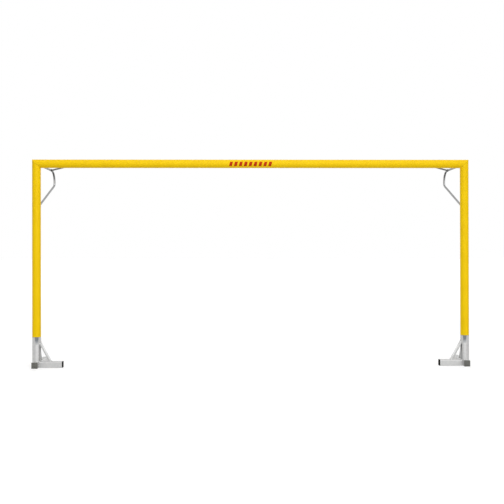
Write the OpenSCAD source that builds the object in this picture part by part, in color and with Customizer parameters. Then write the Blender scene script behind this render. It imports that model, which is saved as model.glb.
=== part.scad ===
// Beach soccer goal frame: coated tube mouth, plug-in ground feet and folding net bows.
// Millimetres, +Z up, +X along the crossbar, +Y behind the goal.
// The origin is on the ground, under the middle of the whole object.
// Pieces that come in pairs are drawn on the right side and mirrored to the left.

/* [Goal mouth] */
// Clear width between the posts
mouth_w = 5500; // [3000:10:6000]
// Clear height from the sand to the underside of the crossbar
mouth_h = 2200; // [1800:10:2440]

/* [Frame tubes] */
// Outside diameter of the posts, the crossbar and the ground posts
tube_d = 110; // [100:1:120]
// Wall of the frame tubes
tube_wall = 3; // [2:0.5:5]

/* [Corner connectors] */
// Length of each connector arm from the meeting point of the tube axes
connector_arm = 190; // [170:5:260]
// Wall of a connector
connector_wall = 6; // [4:0.5:10]
// Radial clearance of a connector in the tubes
connector_play = 0.2; // [0.1:0.05:0.3]
// Distance of the first corner screw from the meeting point of the tube axes
corner_screw_first = 100; // [80:5:110]
// Distance between the two corner screws of one arm
corner_screw_pitch = 50; // [30:5:60]

/* [Screws] */
// Thread diameter of the corner screws and the plug screws
screw_d = 10; // [6:1:12]
// Diameter of a screw head
screw_head_d = 17.5; // [15:0.5:20]
// Height of a screw head
screw_head_h = 5.5; // [4:0.5:8]
// Width across the corners of a hexagon socket
socket_w = 7; // [4:0.5:8]
// Depth of a hexagon socket
socket_depth = 3; // [2:0.5:3.5]
// Length of a screw past the wall that it is screwed into
screw_end = 4; // [2:0.5:8]
// Radial clearance of a screw in a plain hole
screw_play = 0.2; // [0.1:0.05:0.5]
// Radial gap between a shank and the threaded hole that holds it
thread_gap = 0.05; // [0.02:0.01:0.1]

/* [Ground plug] */
// Height of the sand, and of the joint in the post, above the underside of the feet
sand_h = 400; // [390:5:600]
// Length of the plug inside the upper post
plug_up = 200; // [150:5:260]
// Length of the plug inside the ground post
plug_down = 150; // [80:5:200]
// Wall of the plug
plug_wall = 6; // [4:0.5:10]
// Radial clearance of the plug in both posts
plug_play = 0.3; // [0.2:0.05:0.5]
// Distance of the plug screws below the joint
plug_screw_drop = 35; // [25:1:45]
// Angle of the plug screws to each side of straight back
plug_screw_spread = 50; // [40:5:60]

/* [Lock screw] */
// Height of the lock screw above the joint
lock_rise = 60; // [40:5:90]
// Diameter of the welded boss
lock_boss_d = 30; // [24:1:36]
// Height of the boss over the post
lock_boss_proud = 14; // [10:1:20]
// Thread diameter of the lock screw
lock_screw_d = 12; // [8:1:14]
// Diameter of the lock screw's head
lock_head_d = 22; // [18:1:26]
// Height of the lock screw's head
lock_head_h = 12; // [8:1:16]
// Thread left showing under the head
lock_thread_out = 6; // [2:1:12]
// Gap between the lock screw's tip and the plug
lock_tip_gap = 0.3; // [0.2:0.05:0.5]

/* [Feet] */
// Width and height of the square foot beams
beam_w = 80; // [70:1:90]
// Wall of the foot beams
beam_wall = 4; // [3:0.5:6]
// Outer corner radius of the foot beams
beam_corner = 9; // [8:0.5:12]
// Length of the long beam in front of the post axis
beam_front = 100; // [70:1:160]
// Length of the long beam behind the post axis
beam_rear = 424; // [250:2:500]
// Distance from the post axis to the inner end of the side beam
side_reach = 336; // [250:2:500]

/* [Beam caps] */
// Thickness of a cap outside the beam
cap_t = 4; // [3:0.5:8]
// Depth of a cap's rim inside the beam
cap_rim = 18; // [10:1:25]
// Wall of a cap's rim
cap_rim_wall = 3; // [2:0.5:4]
// Clearance of a cap's rim to the beam's inside
cap_play = 0.2; // [0.1:0.05:0.3]

/* [Braces] */
// Width of the rectangular brace tubes
brace_w = 60; // [40:1:70]
// Depth of the rectangular brace tubes
brace_t = 20; // [12:1:24]
// Wall of the brace tubes
brace_wall = 3; // [2:0.5:5]
// Height at which a brace's upper face meets the ground post
brace_top = 326; // [280:2:336]
// Distance from the post axis to the end of the side brace on its beam
brace_side_foot = 190; // [160:2:220]
// Distance from the post axis to the end of the rear brace on its beam
brace_rear_foot = 150; // [130:2:220]

/* [Hinges] */
// Distance from the surface of a frame tube to a hinge axis
hinge_stand = 30; // [27:1:40]
// Thread diameter of a hinge bolt
hinge_bolt_d = 12; // [10:1:14]
// Radial running clearance of a hinge eye on its bolt
hinge_play = 0.08; // [0.05:0.01:0.1]
// Outside diameter of a hinge eye
eye_d = 30; // [30:1:34]
// Height of a hinge eye
eye_h = 50; // [50:1:60]
// Gap between a hinge eye and each bracket ear
eye_gap = 0.3; // [0.2:0.05:0.5]
// Thickness of a bracket ear
ear_t = 6; // [4:1:10]
// Width of a bracket
ear_d = 32; // [28:1:36]
// Thickness of a bracket's web over the tube
web_t = 8; // [4:1:10]
// Width across the corners of a bolt head and a nut
hex_w = 21; // [18:0.5:24]
// Height of a bolt head and a nut
hex_h = 8; // [6:0.5:12]
// Length of a hinge bolt past its nut
bolt_end = 3; // [1:0.5:6]

/* [Net bows] */
// Outside diameter of the bow tube
bow_d = 28; // [20:1:29]
// Wall of the bow and stay tubes
bow_wall = 2.5; // [2:0.5:4]
// Distance from the goal plane to the axis of the upright leg
bow_reach = 900; // [800:5:1200]
// Centre line radius of the upper bend
bow_top_bend = 150; // [100:5:150]
// Centre line radius of the lower bend
bow_low_bend = 60; // [45:1:66]
// Drop from the crossbar axis to where the upright and sloping legs meet
bow_corner_drop = 198; // [196:1:300]
// Drop from the crossbar axis to the lower hinge
bow_foot_drop = 558; // [500:2:600]
// Length by which a bend laps over the straight tube at each end
bend_lap = 1; // [0.5:0.1:1.5]
// Radius that a bend has over the straight tube
bend_swell = 0.05; // [0.04:0.01:0.1]

/* [Net stays] */
// Outside diameter of the stay tube
stay_d = 24; // [18:1:26]
// Distance from the post axis to the stay's hinge on the crossbar
stay_bar = 480; // [400:5:560]
// Length of the cradle along the bow
cradle_len = 44; // [36:1:50]
// Distance from the cradle to the start of the bow's upper bend
cradle_setback = 3; // [1:1:20]
// Wall of the cradle
cradle_wall = 5; // [3:0.5:7]
// Radial clearance between the cradle and the bow
cradle_play = 0.3; // [0.2:0.05:0.5]

/* [Net hooks] */
// Greatest distance between two net hooks
hook_pitch = 250; // [150:10:400]
// Distance kept from a hook to a bracket, a connector or the plug
hook_margin = 60; // [50:5:90]
// Angle of the crossbar's hooks below straight back
hook_tilt = 30; // [28:1:40]
// Diameter of a hook's stem in the tube wall
hook_stem_d = 8; // [6:0.5:10]
// Radial clearance of a stem in the tube wall
hook_stem_play = 0.1; // [0.05:0.05:0.2]
// Length of a stem inside the tube
hook_stem_in = 6; // [4:1:12]
// Diameter of a hook's collar
hook_collar_d = 18; // [14:1:22]
// Thickness of a hook's collar
hook_collar_t = 3; // [2:0.5:5]
// Thickness of the hook itself
hook_rod_d = 6; // [4:0.5:7]
// Straight length of the hook outside its collar
hook_neck = 14; // [10:1:20]
// Centre line radius of the hook's bend
hook_bend = 9; // [7:0.5:10]

/* [Seats] */
// Gap under a welded piece that sits on a tube
weld_gap = 0.1; // [0.05:0.05:0.2]

/* [Hidden] */
$fn = 64;
HEX_SIDES = 6;
CUT = 1;
LEAST_RADIUS = 0.5;
HALF_TURN = 180;
RIGHT_ANGLE = 90;
MITRE_ANGLE = 45;

COATED = [0.96, 0.79, 0.04];
BARE = [0.78, 0.79, 0.80];
ZINC = [0.66, 0.68, 0.70];
CAP_COLOUR = [0.13, 0.13, 0.13];
HOOK_COLOUR = [0.93, 0.93, 0.91];

tube_r = tube_d / 2;
tube_ri = tube_r - tube_wall;
post_x = mouth_w / 2 + tube_r;
bar_z = sand_h + mouth_h + tube_r;

connector_r = tube_ri - connector_play;
connector_ri = connector_r - connector_wall;
corner_grip = tube_wall + connector_play + connector_wall + screw_end;
plug_r = tube_ri - plug_play;
plug_grip = tube_wall + plug_play + plug_wall + screw_end;
plug_screw_z = sand_h - plug_screw_drop;
lock_z = sand_h + lock_rise;
lock_seat_r = tube_r + lock_boss_proud;

hinge_y = tube_r + hinge_stand;
hinge_drops = [0, bow_foot_drop];
bolt_r = hinge_bolt_d / 2;
bracket_h = eye_h + 2 * (eye_gap + ear_t);
bolt_len = bracket_h + hex_h + bolt_end;

bow_r = bow_d / 2;
leg_slope = atan2(bow_foot_drop - bow_corner_drop, bow_reach - hinge_y);
low_turn = RIGHT_ANGLE - leg_slope;
low_tangent = bow_low_bend * tan(low_turn / 2);
leg_top = [bow_reach - low_tangent * cos(leg_slope), -bow_corner_drop - low_tangent * sin(leg_slope)];

stay_r = stay_d / 2;
stay_bow = bow_reach - bow_top_bend - cradle_setback - cradle_len / 2;
stay_len = norm([stay_bar, stay_bow - hinge_y]);
stay_angle = atan2(stay_bow - hinge_y, stay_bar);
cradle_ri = bow_r + cradle_play;
cradle_r = cradle_ri + cradle_wall;
stay_hollow_start = eye_d / 2 + bow_wall;
stay_hollow_end = stay_len - (cradle_r + stay_r * sin(stay_angle)) / cos(stay_angle);

rim_w = beam_w - 2 * (beam_wall + cap_play);
rim_corner = max(beam_corner - beam_wall - cap_play, LEAST_RADIUS);

hook_out = tube_r + hook_collar_t + hook_neck;
bracket_keep = ear_d / 2 + hook_margin;
low_hinge_z = bar_z - bow_foot_drop;
post_hook_z = concat(
    spread(sand_h + plug_up + hook_margin, low_hinge_z - bracket_h / 2 - hook_margin),
    spread(low_hinge_z + bracket_h / 2 + hook_margin, bar_z - connector_arm - hook_margin)
);
stay_x = post_x - stay_bar;
outer_hook_x = spread(stay_x + bracket_keep, post_x - connector_arm - hook_margin);
bar_hook_x = concat(
    [for (x = outer_hook_x) -x],
    spread(bracket_keep - stay_x, stay_x - bracket_keep),
    outer_hook_x
);

// The goal plane stands forward of the origin, which is midway between the front caps and the bows.
front_reach = beam_front + cap_t;
rear_reach = bow_reach + bow_r + bend_swell;
goal_y = (front_reach - rear_reach) / 2;

// Even steps from one place to another, none longer than the hook pitch.
function spread(from, to) =
    let (steps = max(1, ceil(abs(to - from) / hook_pitch)))
    [for (i = [0:steps]) from + (to - from) * i / steps];

// ---- Placing ----

// Moves a piece that is drawn about the goal plane to its place over the origin.
module in_place() {
    translate([0, goal_y, 0]) children();
}

module left() {
    in_place() mirror([1, 0, 0]) children();
}

module right() {
    in_place() children();
}

// Turns a piece that points up so that it points straight back.
module backward() {
    rotate([-RIGHT_ANGLE, 0, 0]) children();
}

module along_bar() {
    rotate([0, RIGHT_ANGLE, 0]) children();
}

module at_corner() {
    translate([post_x, 0, bar_z]) children();
}

// ---- Tubes and mitres ----

// Half space on one side of the mitre plane: -MITRE_ANGLE keeps what is above it, HALF_TURN - MITRE_ANGLE below.
module mitre_side(turn) {
    size = 2 * tube_d;
    at_corner() rotate([0, turn, 0]) translate([-size, -size, 0]) cube(2 * size);
}

// Round arm down the post from the corner, cut at the mitre.
module post_arm(r, reach) {
    difference() {
        translate([post_x, 0, bar_z - reach]) cylinder(r = r, h = reach + tube_d);
        mitre_side(-MITRE_ANGLE);
    }
}

// Round arm along the crossbar from the corner, cut at the mitre.
module bar_arm(r, reach) {
    difference() {
        translate([post_x - reach, 0, bar_z]) along_bar() cylinder(r = r, h = reach + tube_d);
        mitre_side(HALF_TURN - MITRE_ANGLE);
    }
}

module elbow(r, reach) {
    union() {
        post_arm(r, reach);
        bar_arm(r, reach);
    }
}

// Hole through the wall of a tube, along the local Z axis.
module wall_hole(r) {
    translate([0, 0, tube_ri - CUT]) cylinder(r = r, h = tube_wall + 2 * CUT);
}

// Places what sits on the back of the post and the crossbar at each corner screw.
module at_post_corner_screws() {
    for (i = [0:1])
        translate([post_x, 0, bar_z - corner_screw_first - i * corner_screw_pitch]) backward() children();
}

module at_bar_corner_screws() {
    for (i = [0:1])
        translate([post_x - corner_screw_first - i * corner_screw_pitch, 0, bar_z]) backward() children();
}

module at_plug_screws() {
    for (side = [-1, 1])
        translate([post_x, 0, plug_screw_z])
            rotate([0, 0, side * plug_screw_spread]) backward() children();
}

module at_lock() {
    translate([post_x, 0, lock_z]) backward() children();
}

module at_post_hooks() {
    for (z = post_hook_z)
        translate([post_x, 0, z]) backward() children();
}

module at_bar_hooks() {
    for (x = bar_hook_x)
        translate([x, 0, bar_z]) rotate([-RIGHT_ANGLE - hook_tilt, 0, 0]) children();
}

// ---- Goal mouth ----

module crossbar() {
    color(COATED) in_place() difference() {
        translate([-post_x - tube_r, 0, bar_z]) along_bar() cylinder(r = tube_r, h = 2 * (post_x + tube_r));
        mitre_side(HALF_TURN - MITRE_ANGLE);
        mirror([1, 0, 0]) mitre_side(HALF_TURN - MITRE_ANGLE);
        translate([-post_x - tube_d, 0, bar_z]) along_bar() cylinder(r = tube_ri, h = 2 * (post_x + tube_d));
        at_bar_corner_screws() wall_hole(screw_d / 2 + screw_play);
        mirror([1, 0, 0]) at_bar_corner_screws() wall_hole(screw_d / 2 + screw_play);
        at_bar_hooks() wall_hole(hook_stem_d / 2 + hook_stem_play);
    }
}

module post() {
    color(COATED) difference() {
        post_arm(tube_r, bar_z - sand_h);
        translate([post_x, 0, sand_h - CUT]) cylinder(r = tube_ri, h = bar_z);
        at_post_corner_screws() wall_hole(screw_d / 2 + screw_play);
        at_post_hooks() wall_hole(hook_stem_d / 2 + hook_stem_play);
        at_lock() wall_hole(lock_screw_d / 2 + screw_play);
    }
}

module corner_connector() {
    color(BARE) difference() {
        elbow(connector_r, connector_arm);
        elbow(connector_ri, connector_arm + CUT);
        at_post_corner_screws() cylinder(r = screw_d / 2 + thread_gap, h = tube_r);
        at_bar_corner_screws() cylinder(r = screw_d / 2 + thread_gap, h = tube_r);
    }
}

// Socket screw whose head sits on a tube and whose shank reaches in by the grip.
module socket_screw(grip) {
    translate([0, 0, tube_r - grip]) cylinder(r = screw_d / 2, h = grip);
    translate([0, 0, tube_r]) difference() {
        cylinder(d = screw_head_d, h = screw_head_h);
        translate([0, 0, screw_head_h - socket_depth]) cylinder(d = socket_w, h = socket_depth + CUT, $fn = HEX_SIDES);
    }
}

module corner_screws() {
    color(ZINC) {
        at_post_corner_screws() socket_screw(corner_grip);
        at_bar_corner_screws() socket_screw(corner_grip);
    }
}

// ---- Ground plug and lock ----

module plug_sleeve() {
    color(BARE) difference() {
        translate([post_x, 0, sand_h - plug_down]) cylinder(r = plug_r, h = plug_down + plug_up);
        translate([post_x, 0, sand_h - plug_down - CUT])
            cylinder(r = plug_r - plug_wall, h = plug_down + plug_up + 2 * CUT);
        at_plug_screws() cylinder(r = screw_d / 2 + thread_gap, h = tube_r);
    }
}

module plug_screws() {
    color(ZINC) at_plug_screws() socket_screw(plug_grip);
}

module lock_boss() {
    color(COATED) difference() {
        at_lock() cylinder(d = lock_boss_d, h = lock_seat_r);
        translate([post_x, 0, lock_z - lock_boss_d]) cylinder(r = tube_r + weld_gap, h = 2 * lock_boss_d);
        at_lock() cylinder(r = lock_screw_d / 2 + thread_gap, h = lock_seat_r + CUT);
    }
}

module lock_screw() {
    tip = plug_r + lock_tip_gap;
    head = lock_seat_r + lock_thread_out;
    color(ZINC) at_lock() union() {
        translate([0, 0, tip]) cylinder(d = lock_screw_d, h = head - tip);
        translate([0, 0, head]) difference() {
            cylinder(d = lock_head_d, h = lock_head_h);
            translate([0, 0, lock_head_h - 2 * socket_depth])
                cylinder(d = lock_screw_d, h = 2 * socket_depth + CUT, $fn = HEX_SIDES);
        }
    }
}

// ---- Feet ----

module rounded_square(w, r) {
    square([w - 2 * r, w], center = true);
    square([w, w - 2 * r], center = true);
    for (x = [-1, 1], y = [-1, 1])
        translate([x * (w / 2 - r), y * (w / 2 - r)]) circle(r = r);
}

// Square tube along the local Z axis, its middle on that axis.
module beam_tube(length) {
    linear_extrude(length) difference() {
        rounded_square(beam_w, beam_corner);
        rounded_square(beam_w - 2 * beam_wall, beam_corner - beam_wall);
    }
}

// Cap on the end of a beam: its plate stands out along the local Z axis and its rim reaches in.
module beam_cap() {
    color(CAP_COLOUR) union() {
        linear_extrude(cap_t) rounded_square(beam_w, beam_corner);
        translate([0, 0, -cap_rim]) linear_extrude(cap_rim) difference() {
            rounded_square(rim_w, rim_corner);
            rounded_square(rim_w - 2 * cap_rim_wall, max(rim_corner - cap_rim_wall, LEAST_RADIUS));
        }
    }
}

module ground_post() {
    color(BARE) difference() {
        translate([post_x, 0, beam_w]) cylinder(r = tube_r, h = sand_h - beam_w);
        translate([post_x, 0, beam_w - CUT]) cylinder(r = tube_ri, h = sand_h - beam_w + 2 * CUT);
        at_plug_screws() wall_hole(screw_d / 2 + screw_play);
    }
}

module long_beam() {
    color(BARE) translate([post_x, -beam_front, beam_w / 2]) backward() beam_tube(beam_front + beam_rear);
}

module side_beam() {
    color(BARE) translate([post_x - beam_w / 2, 0, beam_w / 2])
        rotate([0, -RIGHT_ANGLE, 0]) beam_tube(side_reach - beam_w / 2);
}

// Leaning bar along the local X axis, as wide as given, run on past the post's surface.
// It keeps the inset from the brace's upper and lower faces, and starts below the beam's top by the run-out.
module brace_bar(foot, width, inset, run_out) {
    slope = atan2(brace_top - beam_w, foot - tube_r);
    far = foot - inset / sin(slope);
    near = foot - (brace_t - inset) / sin(slope);
    lead = run_out / tan(slope);
    rotate([RIGHT_ANGLE, 0, 0]) linear_extrude(width, center = true) polygon([
        [far + lead, beam_w - run_out],
        [near + lead, beam_w - run_out],
        [0, beam_w + near * tan(slope)],
        [0, beam_w + far * tan(slope)]
    ]);
}

// Rectangular tube from a beam up to the ground post, leaning against it.
module brace(foot) {
    difference() {
        brace_bar(foot, brace_w, 0, 0);
        brace_bar(foot, brace_w - 2 * brace_wall, brace_wall, CUT);
        cylinder(r = tube_r + weld_gap, h = 2 * sand_h);
    }
}

module side_brace() {
    color(BARE) translate([post_x, 0, 0]) rotate([0, 0, HALF_TURN]) brace(brace_side_foot);
}

module rear_brace() {
    color(BARE) translate([post_x, 0, 0]) rotate([0, 0, RIGHT_ANGLE]) brace(brace_rear_foot);
}

module front_cap() {
    translate([post_x, -beam_front, beam_w / 2]) rotate([RIGHT_ANGLE, 0, 0]) beam_cap();
}

module rear_cap() {
    translate([post_x, beam_rear, beam_w / 2]) backward() beam_cap();
}

module side_cap() {
    translate([post_x - side_reach, 0, beam_w / 2]) rotate([0, -RIGHT_ANGLE, 0]) beam_cap();
}

// ---- Hinge brackets ----

// Two ears on a web, about a hinge on the local Z axis, reaching forward to the tube's axis.
module bracket_blank() {
    difference() {
        union() {
            translate([-ear_d / 2, -hinge_y, -bracket_h / 2]) cube([ear_d, tube_r + web_t, bracket_h]);
            for (z = [-bracket_h / 2, bracket_h / 2 - ear_t])
                translate([0, 0, z]) {
                    cylinder(d = ear_d, h = ear_t);
                    translate([-ear_d / 2, -hinge_y, 0]) cube([ear_d, hinge_y, ear_t]);
                }
        }
        cylinder(r = bolt_r + screw_play, h = bracket_h + CUT, center = true);
    }
}

module top_bracket() {
    color(COATED) difference() {
        at_corner() translate([0, hinge_y, 0]) bracket_blank();
        elbow(tube_r + weld_gap, tube_d);
    }
}

module lower_bracket() {
    color(COATED) difference() {
        translate([post_x, hinge_y, low_hinge_z]) bracket_blank();
        translate([post_x, 0, low_hinge_z - tube_d]) cylinder(r = tube_r + weld_gap, h = 2 * tube_d);
    }
}

module stay_bracket() {
    color(COATED) difference() {
        translate([stay_x, hinge_y, bar_z]) bracket_blank();
        translate([stay_x - tube_d, 0, bar_z]) along_bar() cylinder(r = tube_r + weld_gap, h = 2 * tube_d);
    }
}

// Places a piece on each of the three hinge axes of one side.
module at_hinges() {
    for (drop = hinge_drops)
        translate([post_x, hinge_y, bar_z - drop]) children();
    translate([stay_x, hinge_y, bar_z]) children();
}

module hinge_bolts() {
    color(ZINC) at_hinges() union() {
        translate([0, 0, bracket_h / 2]) cylinder(d = hex_w, h = hex_h, $fn = HEX_SIDES);
        translate([0, 0, bracket_h / 2 - bolt_len]) cylinder(r = bolt_r, h = bolt_len);
    }
}

module hinge_nuts() {
    color(ZINC) at_hinges() translate([0, 0, -bracket_h / 2 - hex_h]) difference() {
        cylinder(d = hex_w, h = hex_h, $fn = HEX_SIDES);
        translate([0, 0, -CUT]) cylinder(r = bolt_r + thread_gap, h = hex_h + 2 * CUT);
    }
}

// ---- Net bows and stays ----

// Round rod in the plane behind the post, from one point to another, both as distance back and height.
module rod(from, to, r) {
    run = to - from;
    translate([0, from[0], from[1]]) rotate([atan2(run[1], run[0]) - RIGHT_ANGLE, 0, 0])
        cylinder(r = r, h = norm(run));
}

// Round bend in the same plane, about a centre, swept from a start angle above straight back.
// It laps over the rod at each end and is a hair thicker, so the two always join.
module bend(centre, radius, start, sweep, r) {
    lap = atan(bend_lap / radius);
    translate([0, centre[0], centre[1]]) rotate([RIGHT_ANGLE, 0, RIGHT_ANGLE]) rotate([0, 0, start - lap])
        rotate_extrude(angle = sweep + 2 * lap) translate([radius, 0]) circle(r = r + bend_swell);
}

// The bow's whole run from the top hinge to the lower hinge, heights measured from the crossbar axis.
module bow_run(r) {
    union() {
        rod([hinge_y, 0], [bow_reach - bow_top_bend, 0], r);
        bend([bow_reach - bow_top_bend, -bow_top_bend], bow_top_bend, 0, RIGHT_ANGLE, r);
        rod([bow_reach, -bow_top_bend], [bow_reach, low_tangent - bow_corner_drop], r);
        bend([bow_reach - bow_low_bend, low_tangent - bow_corner_drop], bow_low_bend, -low_turn, low_turn, r);
        rod(leg_top, [hinge_y, -bow_foot_drop], r);
    }
}

// Hinge eye, turned so that its round surface starts and ends towards the goal, clear of the tubes.
module eye() {
    rotate([0, 0, -RIGHT_ANGLE]) cylinder(d = eye_d, h = eye_h, center = true);
}

module eye_bore() {
    cylinder(r = bolt_r + hinge_play, h = eye_h + 2 * CUT, center = true);
}

module net_bow() {
    color(ZINC) difference() {
        at_corner() union() {
            difference() {
                bow_run(bow_r);
                bow_run(bow_r - bow_wall);
            }
            for (drop = hinge_drops)
                translate([0, hinge_y, -drop]) eye();
        }
        for (drop = hinge_drops)
            translate([post_x, hinge_y, bar_z - drop]) eye_bore();
    }
}

// Half ring that hugs the bow from the inner side.
module cradle() {
    intersection() {
        translate([0, -cradle_len / 2, 0]) backward() cylinder(r = cradle_r, h = cradle_len);
        translate([-2 * cradle_r, -cradle_len, -cradle_r]) cube([2 * cradle_r, 2 * cradle_len, 2 * cradle_r]);
    }
}

// Tube from the stay's hinge to the bow, with a cradle on its free end.
module net_stay() {
    color(ZINC) difference() {
        union() {
            translate([stay_x, hinge_y, bar_z]) rotate([0, 0, stay_angle]) along_bar() difference() {
                cylinder(r = stay_r, h = stay_len);
                translate([0, 0, stay_hollow_start])
                    cylinder(r = stay_r - bow_wall, h = stay_hollow_end - stay_hollow_start);
            }
            translate([stay_x, hinge_y, bar_z]) eye();
            translate([post_x, stay_bow, bar_z]) cradle();
        }
        translate([stay_x, hinge_y, bar_z]) eye_bore();
        translate([post_x, 0, bar_z]) backward() cylinder(r = cradle_ri, h = bow_reach);
    }
}

// ---- Net hooks ----

// Screw-in hook whose stem sits in the tube wall and whose mouth opens upward.
module net_hook() {
    translate([0, 0, tube_ri - hook_stem_in]) cylinder(d = hook_stem_d, h = tube_wall + hook_stem_in);
    translate([0, 0, tube_r]) cylinder(d = hook_collar_d, h = hook_collar_t);
    translate([0, 0, tube_r]) cylinder(d = hook_rod_d, h = hook_collar_t + hook_neck);
    translate([0, -hook_bend, hook_out]) rotate([RIGHT_ANGLE, 0, RIGHT_ANGLE])
        rotate_extrude(angle = HALF_TURN) translate([hook_bend, 0]) circle(d = hook_rod_d);
    translate([0, -2 * hook_bend, hook_out]) sphere(d = hook_rod_d);
}

module crossbar_net_hooks() {
    color(HOOK_COLOUR) in_place() at_bar_hooks() net_hook();
}

module post_net_hooks() {
    color(HOOK_COLOUR) at_post_hooks() net_hook();
}

crossbar();
left() post();  // left_post
right() post();  // right_post
left() corner_connector();  // left_corner_connector
right() corner_connector();  // right_corner_connector
left() corner_screws();  // left_corner_screws
right() corner_screws();  // right_corner_screws
left() top_bracket();  // left_top_bracket
right() top_bracket();  // right_top_bracket
left() lower_bracket();  // left_lower_bracket
right() lower_bracket();  // right_lower_bracket
left() stay_bracket();  // left_stay_bracket
right() stay_bracket();  // right_stay_bracket
left() hinge_bolts();  // left_hinge_bolts
right() hinge_bolts();  // right_hinge_bolts
left() hinge_nuts();  // left_hinge_nuts
right() hinge_nuts();  // right_hinge_nuts
left() lock_boss();  // left_lock_boss
right() lock_boss();  // right_lock_boss
left() lock_screw();  // left_lock_screw
right() lock_screw();  // right_lock_screw
crossbar_net_hooks();
left() post_net_hooks();  // left_post_net_hooks
right() post_net_hooks();  // right_post_net_hooks
left() ground_post();  // left_ground_post
right() ground_post();  // right_ground_post
left() plug_sleeve();  // left_plug_sleeve
right() plug_sleeve();  // right_plug_sleeve
left() plug_screws();  // left_plug_screws
right() plug_screws();  // right_plug_screws
left() long_beam();  // left_long_beam
right() long_beam();  // right_long_beam
left() side_beam();  // left_side_beam
right() side_beam();  // right_side_beam
left() side_brace();  // left_side_brace
right() side_brace();  // right_side_brace
left() rear_brace();  // left_rear_brace
right() rear_brace();  // right_rear_brace
left() front_cap();  // left_front_cap
right() front_cap();  // right_front_cap
left() rear_cap();  // left_rear_cap
right() rear_cap();  // right_rear_cap
left() side_cap();  // left_side_cap
right() side_cap();  // right_side_cap
left() net_bow();  // left_net_bow
right() net_bow();  // right_net_bow
left() net_stay();  // left_net_stay
right() net_stay();  // right_net_stay
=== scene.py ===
"""Looks for a beach soccer goal frame: coated mouth, bare ground feet and zinc net bows.

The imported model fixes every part's shape and place. This script dresses those parts, swaps the
small hardware for finer meshes, rounds the edges of the small fittings, adds the welds and the
printed bars, and sets up a plain pale studio.
All lengths are in metres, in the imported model's frame: X along the crossbar, Y behind the goal,
Z up.
"""

import logging
import math
from collections.abc import Sequence
from dataclasses import dataclass, field
from enum import Enum

import bmesh
import bpy
from bpy.types import Material, Mesh, Node, NodeSocket, NodeTree, Object
from mathutils import Matrix, Vector


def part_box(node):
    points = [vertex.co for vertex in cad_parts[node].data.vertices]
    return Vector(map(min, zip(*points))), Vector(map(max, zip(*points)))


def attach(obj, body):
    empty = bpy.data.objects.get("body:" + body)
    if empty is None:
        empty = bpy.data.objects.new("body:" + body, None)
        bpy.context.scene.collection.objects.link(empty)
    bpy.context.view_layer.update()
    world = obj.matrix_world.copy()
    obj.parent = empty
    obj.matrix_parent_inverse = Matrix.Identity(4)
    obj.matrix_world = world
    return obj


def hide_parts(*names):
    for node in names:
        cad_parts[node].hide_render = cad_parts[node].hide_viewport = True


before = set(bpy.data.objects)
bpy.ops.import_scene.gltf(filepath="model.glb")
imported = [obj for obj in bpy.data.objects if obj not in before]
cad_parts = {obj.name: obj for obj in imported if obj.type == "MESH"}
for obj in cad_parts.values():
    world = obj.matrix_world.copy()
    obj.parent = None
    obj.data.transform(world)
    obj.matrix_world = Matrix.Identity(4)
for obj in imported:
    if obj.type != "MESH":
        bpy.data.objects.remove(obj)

log = logging.getLogger("goal")

FULL_TURN = 2 * math.pi
ACROSS, BACK, UP = Vector((1, 0, 0)), Vector((0, 1, 0)), Vector((0, 0, 1))

Chain = list[Vector]


# ---- Small helpers ----

def linear(code: str) -> tuple[float, float, float, float]:
    """Turn an sRGB hex colour into the linear RGBA that a colour socket takes.

    Args:
        code: Colour as "#RRGGBB".

    Returns:
        Red, green, blue and an alpha of 1.
    """
    values = (int(code[i:i + 2], 16) / 255 for i in (1, 3, 5))
    red, green, blue = (v / 12.92 if v <= 0.04045 else ((v + 0.055) / 1.055) ** 2.4
                        for v in values)
    return red, green, blue, 1.0


def mesh_object(name: str, mesh: Mesh) -> Object:
    """Link a mesh into the scene as an object at the origin.

    Args:
        name: Name of the object.
        mesh: The mesh.

    Returns:
        The object.
    """
    made = bpy.data.objects.new(name, mesh)
    bpy.context.scene.collection.objects.link(made)
    return made


def mesh_from(name: str, points: Chain, faces: list[tuple], edges: Sequence[tuple] = ()) -> Mesh:
    """Make a mesh.

    Args:
        name: Name of the mesh.
        points: Its points.
        faces: Numbers of each face's points.
        edges: Numbers of the points of each edge that no face has.

    Returns:
        The mesh.
    """
    mesh = bpy.data.meshes.new(name)
    mesh.from_pydata([tuple(p) for p in points], list(edges), list(faces))
    mesh.update()
    return mesh


def smooth_by_angle(mesh: Mesh, degrees: float = 32) -> None:
    """Shade a mesh smooth, and keep the edges sharp where its faces meet at more than an angle."""
    mesh.polygons.foreach_set("use_smooth", [True] * len(mesh.polygons))
    mesh.set_sharp_from_angle(angle=math.radians(degrees))


def even_steps(start: float, end: float, longest: float) -> list[float]:
    """Places from start to end in equal steps, none over the longest."""
    steps = max(1, math.ceil(abs(end - start) / longest))
    return [start + (end - start) * i / steps for i in range(steps + 1)]


# ---- Turned pieces ----

def loft(rings: list[Chain]) -> tuple[Chain, list[tuple]]:
    """Join rings of equally many points into one closed skin.

    Args:
        rings: Rings from the bottom to the top, each counter-clockwise from above.

    Returns:
        The skin's points and faces.
    """
    count = len(rings[0])
    points = [p for row in rings for p in row]
    faces = []
    for low in range(0, len(points) - count, count):
        for i in range(count):
            j = (i + 1) % count
            faces.append((low + i, low + j, low + count + j, low + count + i))
    faces.append(tuple(reversed(range(count))))
    faces.append(tuple(range(len(points) - count, len(points))))
    return points, faces


def angles(count: int) -> list[float]:
    """Even angles round a circle."""
    return [FULL_TURN * i / count for i in range(count)]


def circle(radius: float, count: int) -> list[tuple[float, float]]:
    """Points of a circle about the middle."""
    return [(radius * math.cos(a), radius * math.sin(a)) for a in angles(count)]


def ring(radius: float, height: float, count: int = 48) -> Chain:
    """Points of a level circle about the Z axis."""
    return [Vector((x, y, height)) for x, y in circle(radius, count)]


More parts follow.
